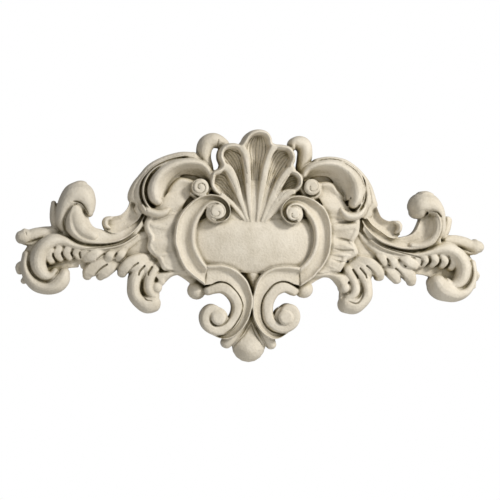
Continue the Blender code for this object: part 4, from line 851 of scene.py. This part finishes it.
# The tool marks, cut in the model and taken over by the mould: lines between forms and in the flutes, gaps
# between leaf fingers and spirals in the round heads. Each row is x, z, half width and depth.
GROOVES = [
    [(-49, 186, 1.6, 2), (-35, 180, 2, 3), (-27, 168, 2, 3), (-20, 140, 1.6, 2)],
    [(-76, 205, 1.6, 2), (-77, 197, 2, 3), (-76, 190, 1.6, 2)],
    [(-123, 168, 1.6, 1), (-159, 167, 2, 3), (-192, 154, 2.2, 4), (-214, 135, 2.2, 4), (-226, 108, 2.2, 4),
     (-215, 63, 2, 2)],
    [(106, 160, 1.6, 1), (134, 171, 2, 3), (167, 170, 2.2, 4), (197, 154, 2.2, 4), (215, 128, 2.2, 4),
     (209, 75, 2, 2)],
    [(-4, -156, 2, 3), (4, -176, 1.8, 3), (18, -196, 1.6, 2), (29, -207, 1.5, 1)],
    [(-4, -156, 1.6, 2), (-18, -178, 1.6, 2), (-32, -194, 1.6, 2), (-39, -206, 1.5, 1)],
    [(-95, -45, 2, 2), (-96, -60, 2, 3), (-98, -78, 2, 2)],
    [(88, -45, 2, 2), (89, -60, 2, 3), (90, -77, 2, 2)],
    [(-221, -72, 1.8, 2), (-222, -92, 2.2, 4), (-214, -110, 2.2, 4), (-202, -113, 1.8, 2)],
    [(217, -81, 1.8, 2), (216, -98, 2.2, 4), (204, -112, 2.2, 4), (187, -108, 1.8, 2)],
    [(-358, 78, 2, 2), (-349, 78, 2.4, 5), (-340, 74, 2.4, 5), (-334, 66, 2.4, 5), (-329, 56, 2, 3)],
    [(341, 73, 2.4, 4), (350, 74, 2.4, 4), (360, 71, 2.4, 4), (368, 63, 2, 3)],
    [(230, 16, 1.8, 2), (261, -1, 2, 4), (292, -10, 2, 4), (323, -17, 2, 3), (340, -22, 1.6, 1)],
    [(-232, 18, 1.8, 2), (-262, -1, 2, 4), (-294, -9, 2, 4), (-326, -13, 2, 3), (-344, -16, 1.6, 1)],
    [(-450, 20, 1.6, 1), (-448, 15, 2, 3), (-447, 10, 1.6, 1)],
    [(-446, -4, 1.8, 2), (-430, 2, 2, 3), (-410, 8, 1.8, 2)],
    [(436, -6, 1.8, 2), (420, 0, 2, 3), (404, 5, 1.8, 2)],
    [(-84, -79, 1.8, 3), (-72, -74, 2.2, 5), (-59, -75, 2.2, 5), (-49, -80, 2.2, 5), (-39, -89, 2.2, 5),
     (-31, -99, 2.2, 5), (-25, -111, 2.2, 5), (-23, -122, 2.2, 5), (-27, -138, 2.2, 5), (-35, -153, 2.2, 5),
     (-45, -166, 2.2, 5), (-58, -175, 2, 4)],
    [(75, -76, 1.8, 3), (64, -72, 2.2, 5), (51, -72, 2.2, 5), (38, -78, 2.2, 5), (27, -90, 2.2, 5),
     (19, -103, 2.2, 5), (15, -118, 2.2, 5), (15, -134, 2.2, 5), (18, -148, 2.2, 5), (26, -161, 2.2, 5),
     (38, -170, 2.2, 5), (51, -173, 2, 4)],
    [(160, 17, 2.4, 1), (178, 14, 3.4, 3.5), (194, 10, 2.6, 2)],
    [(158, -5, 2.4, 1), (176, -8, 3.4, 3.5), (194, -7, 2.6, 2)],
    [(154, -26, 2.4, 1), (168, -30, 3.2, 3), (178, -30, 2.4, 2)],
    [(152, 44, 2.4, 1), (174, 48, 3.4, 3), (194, 50, 2.4, 1)],
]
FINGER_PAIRS = [(1, 2), (2, 3), (3, 4), (4, 0), (5, 6), (6, 7), (8, 9), (10, 11), (11, 12), (12, 13)]
FINGER_GAP = (2.6, 4.6)
FINGER_STOPS = 12
FINGER_ROOT = 5
STRIATION_SHARES = (0.16, 0.27, 0.38, 0.5, 0.62, 0.73, 0.84)
STRIATION_START = 0.42
STRIATION = (1.4, 1.6)
FLUTE_STOPS = 60
STRIATION_EVERY = 6
SPIRALS = [
    (FRAME_EYES["left"], 0.7, 2, 130), (FRAME_EYES["right"], 0.7, 2, 50),
    (C_DISCS["left"], 1.4, 2.4, 90), (C_DISCS["right"], 0.8, 2, 90),
]
SPIRAL_START = 0.96
SPIRAL_END = 0.22
SPIRAL_WIDTH = 1.7
SPIRAL_STOPS = 24
MARK_STEP = 0.8
FEWEST_MARKS = 6

for before, after, (first_arch, second_arch) in zip(RIBS, RIBS[1:], FLUTE_ARCHES):
    first = spline([row[:2] for row in before] + first_arch, FLUTE_STOPS)
    second = spline([row[:2] for row in after] + second_arch, FLUTE_STOPS)
    for share in STRIATION_SHARES:
        line = (first + (second - first) * share)[int(FLUTE_STOPS * STRIATION_START):]
        GROOVES.append([(*spot, *STRIATION) for spot in line[::STRIATION_EVERY]])
for side in SIDES:
    for pair in FINGER_PAIRS:
        lines = [spline([row[:2] for row in FINGERS[side][index]], FINGER_STOPS) for index in pair]
        GROOVES.append([(*spot, *FINGER_GAP) for spot in (sum(lines) / 2)[FINGER_ROOT:]])
for (x, z, radius, height), turns, depth, start in SPIRALS:
    outs = np.linspace(SPIRAL_START, SPIRAL_END, SPIRAL_STOPS) * radius
    way = 1 if x < 0 else -1
    angles = math.radians(start) + np.linspace(0, math.tau * turns, SPIRAL_STOPS) * way
    GROOVES.append([
        (x + out * math.cos(angle), z + out * math.sin(angle), SPIRAL_WIDTH, depth)
        for out, angle in zip(outs, angles)
    ])

marks = np.concatenate([
    spline(rows, max(FEWEST_MARKS, int(run_of(rows) / MARK_STEP))) for rows in GROOVES
])
near = kdtree.KDTree(len(marks))
for index, mark in enumerate(marks):
    near.insert((mark[0], mark[1], 0), index)
near.balance()

# The casting: all the strokes above are one piece, softened as a mould softens a carving, a little dented
# by wear, with the tool marks sunk into its front. Its back is flat and lies against the wall.
CAST_GRID = 1.2
CAST_SOFTENING = 0.5
CAST_SMOOTHING = 2
CAST_TRIANGLES = 186000
DENT_DEPTH = 0.5
DENT_SCALE = 0.055
FRONT_DEPTH = 0.008
BACK_CLEARANCE = 0.00002

strokes = bpy.data.meshes.new("strokes")
strokes.from_pydata([(x * UNIT, depth * UNIT, z * UNIT) for x, z, depth in points], [], faces)
cast = bpy.data.objects.new("plaque_cast", strokes)
bpy.context.scene.collection.objects.link(cast)


def applied(kind, **settings):
    """The casting's mesh with one modifier applied."""
    modifier = cast.modifiers.new("step", kind)
    for name, value in settings.items():
        setattr(modifier, name, value)
    made = bpy.data.meshes.new_from_object(cast.evaluated_get(bpy.context.evaluated_depsgraph_get()))
    cast.modifiers.clear()
    return made


def skin_of(mesh):
    """The places of a mesh's vertices, one row each."""
    places = np.empty(len(mesh.vertices) * 3, np.float32)
    mesh.vertices.foreach_get("co", places)
    return places.reshape(-1, 3)


cast.data = applied("REMESH", mode="VOXEL", voxel_size=CAST_GRID * UNIT)
cast.data = applied("SMOOTH", factor=CAST_SOFTENING, iterations=CAST_SMOOTHING)
skin = skin_of(cast.data)
dents = np.array([noise.noise(Vector(place) / UNIT * DENT_SCALE) for place in skin.tolist()])
front = skin[:, 1] < 0
skin[front, 1] += (dents[front] * DENT_DEPTH * UNIT).astype(np.float32)
for spot in np.flatnonzero(skin[:, 1] < -FRONT_DEPTH):
    _, index, away = near.find((skin[spot, 0] / UNIT, skin[spot, 2] / UNIT, 0))
    _, _, width, depth = marks[index]
    if away < width:
        skin[spot, 1] += depth * UNIT * (1 - (away / width) ** 2) ** 2
cast.data.vertices.foreach_set("co", skin.ravel())
cast.data.update()
cast.data.calc_loop_triangles()
cast.data = applied("DECIMATE", ratio=CAST_TRIANGLES / len(cast.data.loop_triangles))

body = bmesh.new()
body.from_mesh(cast.data)
cut = bmesh.ops.bisect_plane(
    body, geom=body.verts[:] + body.edges[:] + body.faces[:], plane_co=(0, -BACK_CLEARANCE, 0),
    plane_no=(0, 1, 0), clear_outer=True,
)
rim = [edge for edge in cut["geom_cut"] if isinstance(edge, bmesh.types.BMEdge)]
bmesh.ops.triangle_fill(body, edges=rim, use_beauty=True, normal=(0, 1, 0))
bmesh.ops.recalc_face_normals(body, faces=body.faces)
body.to_mesh(cast.data)
body.free()
low, high = (np.array(corner) for corner in cad_box)
cast.data.vertices.foreach_set("co", np.clip(skin_of(cast.data), low, high).ravel())
cast.data.shade_smooth()
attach(cast, "root")
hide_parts("plaque")

# Its finish: warm off-white stone, matt and slightly grained. An olive-brown stain was brushed on and wiped
# off the high parts, so it is left in the recesses, with specks of it in the pores. The recess colour is
# also painted shade, and the creases are painted near black as shade.
STONE_LIGHT = (0.79, 0.725, 0.61, 1)
STONE_DARK = (0.68, 0.615, 0.50, 1)
# The recess colour is partly the olive-brown stain and partly painted shade; the crease colour is painted
# shade.
STAIN_AND_SHADE = (0.3, 0.245, 0.11, 1)
CREASE_PAINTED_SHADE = (0.08, 0.06, 0.02, 1)
STAIN_AND_SHADE_REACH = 0.03
CREASE_REACH = 0.01
SUNK_SAMPLES = 12
CLOUDS = (22, 6, 0.6)
BLOTCHES = (60, 5, 0.7)
GRAIN = (240, 4, 0.7)
PORES = (240, 4, 0.5)

stone = bpy.data.materials.new("cast_stone_stain_and_painted_shade")
stone.use_nodes = True
nodes, wires = stone.node_tree.nodes, stone.node_tree.links
surface = nodes["Principled BSDF"]
surface.inputs["Roughness"].default_value = 0.78
surface.inputs["Specular IOR Level"].default_value = 0.35
place = nodes.new("ShaderNodeTexCoord")


def mottle(scale, detail, roughness):
    """Uneven patches of one scale, fixed to the casting."""
    patches = nodes.new("ShaderNodeTexNoise")
    patches.inputs["Scale"].default_value = scale
    patches.inputs["Detail"].default_value = detail
    patches.inputs["Roughness"].default_value = roughness
    wires.new(place.outputs["Object"], patches.inputs["Vector"])
    return patches.outputs["Fac"]


def stretched(value, low, high, least, most):
    """A value between low and high, stretched to lie between least and most."""
    reach = nodes.new("ShaderNodeMapRange")
    reach.inputs["From Min"].default_value = low
    reach.inputs["From Max"].default_value = high
    reach.inputs["To Min"].default_value = least
    reach.inputs["To Max"].default_value = most
    wires.new(value, reach.inputs["Value"])
    return reach.outputs["Result"]


def sunk(reach, full, none):
    """Mask of what lies sunk among forms within reach, from open light 0 at none to 1 at full."""
    sight = nodes.new("ShaderNodeAmbientOcclusion")
    sight.samples = SUNK_SAMPLES
    sight.inputs["Distance"].default_value = reach
    ramp = nodes.new("ShaderNodeValToRGB")
    ramp.color_ramp.elements[0].position = full
    ramp.color_ramp.elements[0].color = (1, 1, 1, 1)
    ramp.color_ramp.elements[1].position = none
    ramp.color_ramp.elements[1].color = (0, 0, 0, 1)
    wires.new(sight.outputs["AO"], ramp.inputs["Fac"])
    return ramp.outputs["Color"]


def product(first, second):
    """Two masks multiplied."""
    times = nodes.new("ShaderNodeMath")
    times.operation = "MULTIPLY"
    wires.new(first, times.inputs[0])
    wires.new(second, times.inputs[1])
    return times.outputs["Value"]


# Painted shade mixed with the stain: the more closed in a spot is, the more olive-brown it is painted.
recess = sunk(STAIN_AND_SHADE_REACH, full=0.14, none=0.72)
# Painted shade: the tightest creases are painted near black.
crease = sunk(CREASE_REACH, full=0.3, none=0.9)
clouds = stretched(mottle(*CLOUDS), low=0.36, high=0.62, least=0, most=1)
blotches = stretched(mottle(*BLOTCHES), low=0.3, high=0.7, least=0.45, most=1)
specks = stretched(mottle(*GRAIN), low=0.48, high=0.64, least=0, most=0.85)
sheltered = stretched(recess, low=0, high=1, least=0.16, most=0.91)
# Coats over the darker stone: lighter stone in clouds, stain and painted shade in the recesses, painted
# shade in the creases, stain specks in the pores.
coats = [
    (clouds, STONE_LIGHT), (product(recess, blotches), STAIN_AND_SHADE), (crease, CREASE_PAINTED_SHADE),
    (product(specks, sheltered), STAIN_AND_SHADE),
]
below = None
for mask, colour in coats:
    coat = nodes.new("ShaderNodeMix")
    coat.data_type = "RGBA"
    coat.inputs["A"].default_value = STONE_DARK
    coat.inputs["B"].default_value = colour
    wires.new(mask, coat.inputs["Factor"])
    if below is not None:
        wires.new(below, coat.inputs["A"])
    below = coat.outputs["Result"]
wires.new(below, surface.inputs["Base Color"])

pores = nodes.new("ShaderNodeBump")
pores.inputs["Strength"].default_value = 0.7
pores.inputs["Distance"].default_value = 0.0015
wires.new(mottle(*PORES), pores.inputs["Height"])
wires.new(pores.outputs["Normal"], surface.inputs["Normal"])
for mesh in (cast.data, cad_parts["plaque"].data):
    mesh.materials.clear()
    mesh.materials.append(stone)

# The studio: a pale floor well under the plaque, which ends behind it so that the white world is all the
# backdrop, and soft light from the right and above with a weak fill from the front.
FLOOR_DROP = 0.64
FLOOR_SIDE = 1.5
FLOOR_FRONT = -1.6
FLOOR_BACK = 0.55
floor_mesh = bpy.data.meshes.new("studio_floor")
floor_mesh.from_pydata([
    (-FLOOR_SIDE, FLOOR_FRONT, -FLOOR_DROP), (FLOOR_SIDE, FLOOR_FRONT, -FLOOR_DROP),
    (FLOOR_SIDE, FLOOR_BACK, -FLOOR_DROP), (-FLOOR_SIDE, FLOOR_BACK, -FLOOR_DROP),
], [], [(0, 1, 2, 3)])
floor = bpy.data.objects.new("studio_floor", floor_mesh)
bpy.context.scene.collection.objects.link(floor)
pale = bpy.data.materials.new("studio_floor_pale")
pale.use_nodes = True
paint = pale.node_tree.nodes["Principled BSDF"]
paint.inputs["Base Color"].default_value = (0.85, 0.85, 0.84, 1)
paint.inputs["Roughness"].default_value = 0.9
floor_mesh.materials.append(pale)

world = bpy.data.worlds.new("studio_white")
bpy.context.scene.world = world
world.use_nodes = True
sky, air = world.node_tree.nodes, world.node_tree.links
seen = sky["Background"]
seen.inputs["Color"].default_value = (1, 1, 1, 1)
seen.inputs["Strength"].default_value = 1.0
fill = sky.new("ShaderNodeBackground")
fill.inputs["Color"].default_value = (0.97, 0.98, 1, 1)
fill.inputs["Strength"].default_value = 0.24
path = sky.new("ShaderNodeLightPath")
either = sky.new("ShaderNodeMixShader")
air.new(path.outputs["Is Camera Ray"], either.inputs["Fac"])
air.new(fill.outputs["Background"], either.inputs[1])
air.new(seen.outputs["Background"], either.inputs[2])
air.new(either.outputs["Shader"], sky["World Output"].inputs["Surface"])

LIGHTS = [("key", (1.9, -1.9, 1.5), 0.5, 74), ("front_fill", (0.2, -3.2, 1.0), 2.0, 15)]
for name, spot, width, watts in LIGHTS:
    lamp = bpy.data.lights.new(name, "AREA")
    lamp.size = width
    lamp.energy = watts
    lamp.color = (1.0, 0.985, 0.96)
    shone = bpy.data.objects.new(name, lamp)
    shone.location = spot
    shone.rotation_mode = "QUATERNION"
    shone.rotation_quaternion = (-Vector(spot)).to_track_quat("-Z", "Y")
    bpy.context.scene.collection.objects.link(shone)

# The camera stands level, a little to the left of the plaque and far off, and is rolled by a degree, as the
# photograph was taken.
CAMERA_AZIMUTH = math.radians(-6)
CAMERA_DISTANCE = 3.5
CAMERA_ROLL = math.radians(1)
CAMERA_LENS = 126.6
CAMERA_FILM = 36
AIM = Vector((-0.0058, 0, -0.010))
back = Vector((math.sin(CAMERA_AZIMUTH), -math.cos(CAMERA_AZIMUTH), 0))
lens = bpy.data.cameras.new("camera")
lens.lens = CAMERA_LENS
lens.sensor_width = CAMERA_FILM
camera = bpy.data.objects.new("camera", lens)
camera.location = AIM + back * CAMERA_DISTANCE
camera.rotation_mode = "QUATERNION"
level = (-back).to_track_quat("-Z", "Y").to_matrix()
camera.rotation_quaternion = (level @ Matrix.Rotation(CAMERA_ROLL, 3, "Z")).to_quaternion()
bpy.context.scene.collection.objects.link(camera)
bpy.context.scene.camera = camera
bpy.context.scene.view_settings.view_transform = "Standard"
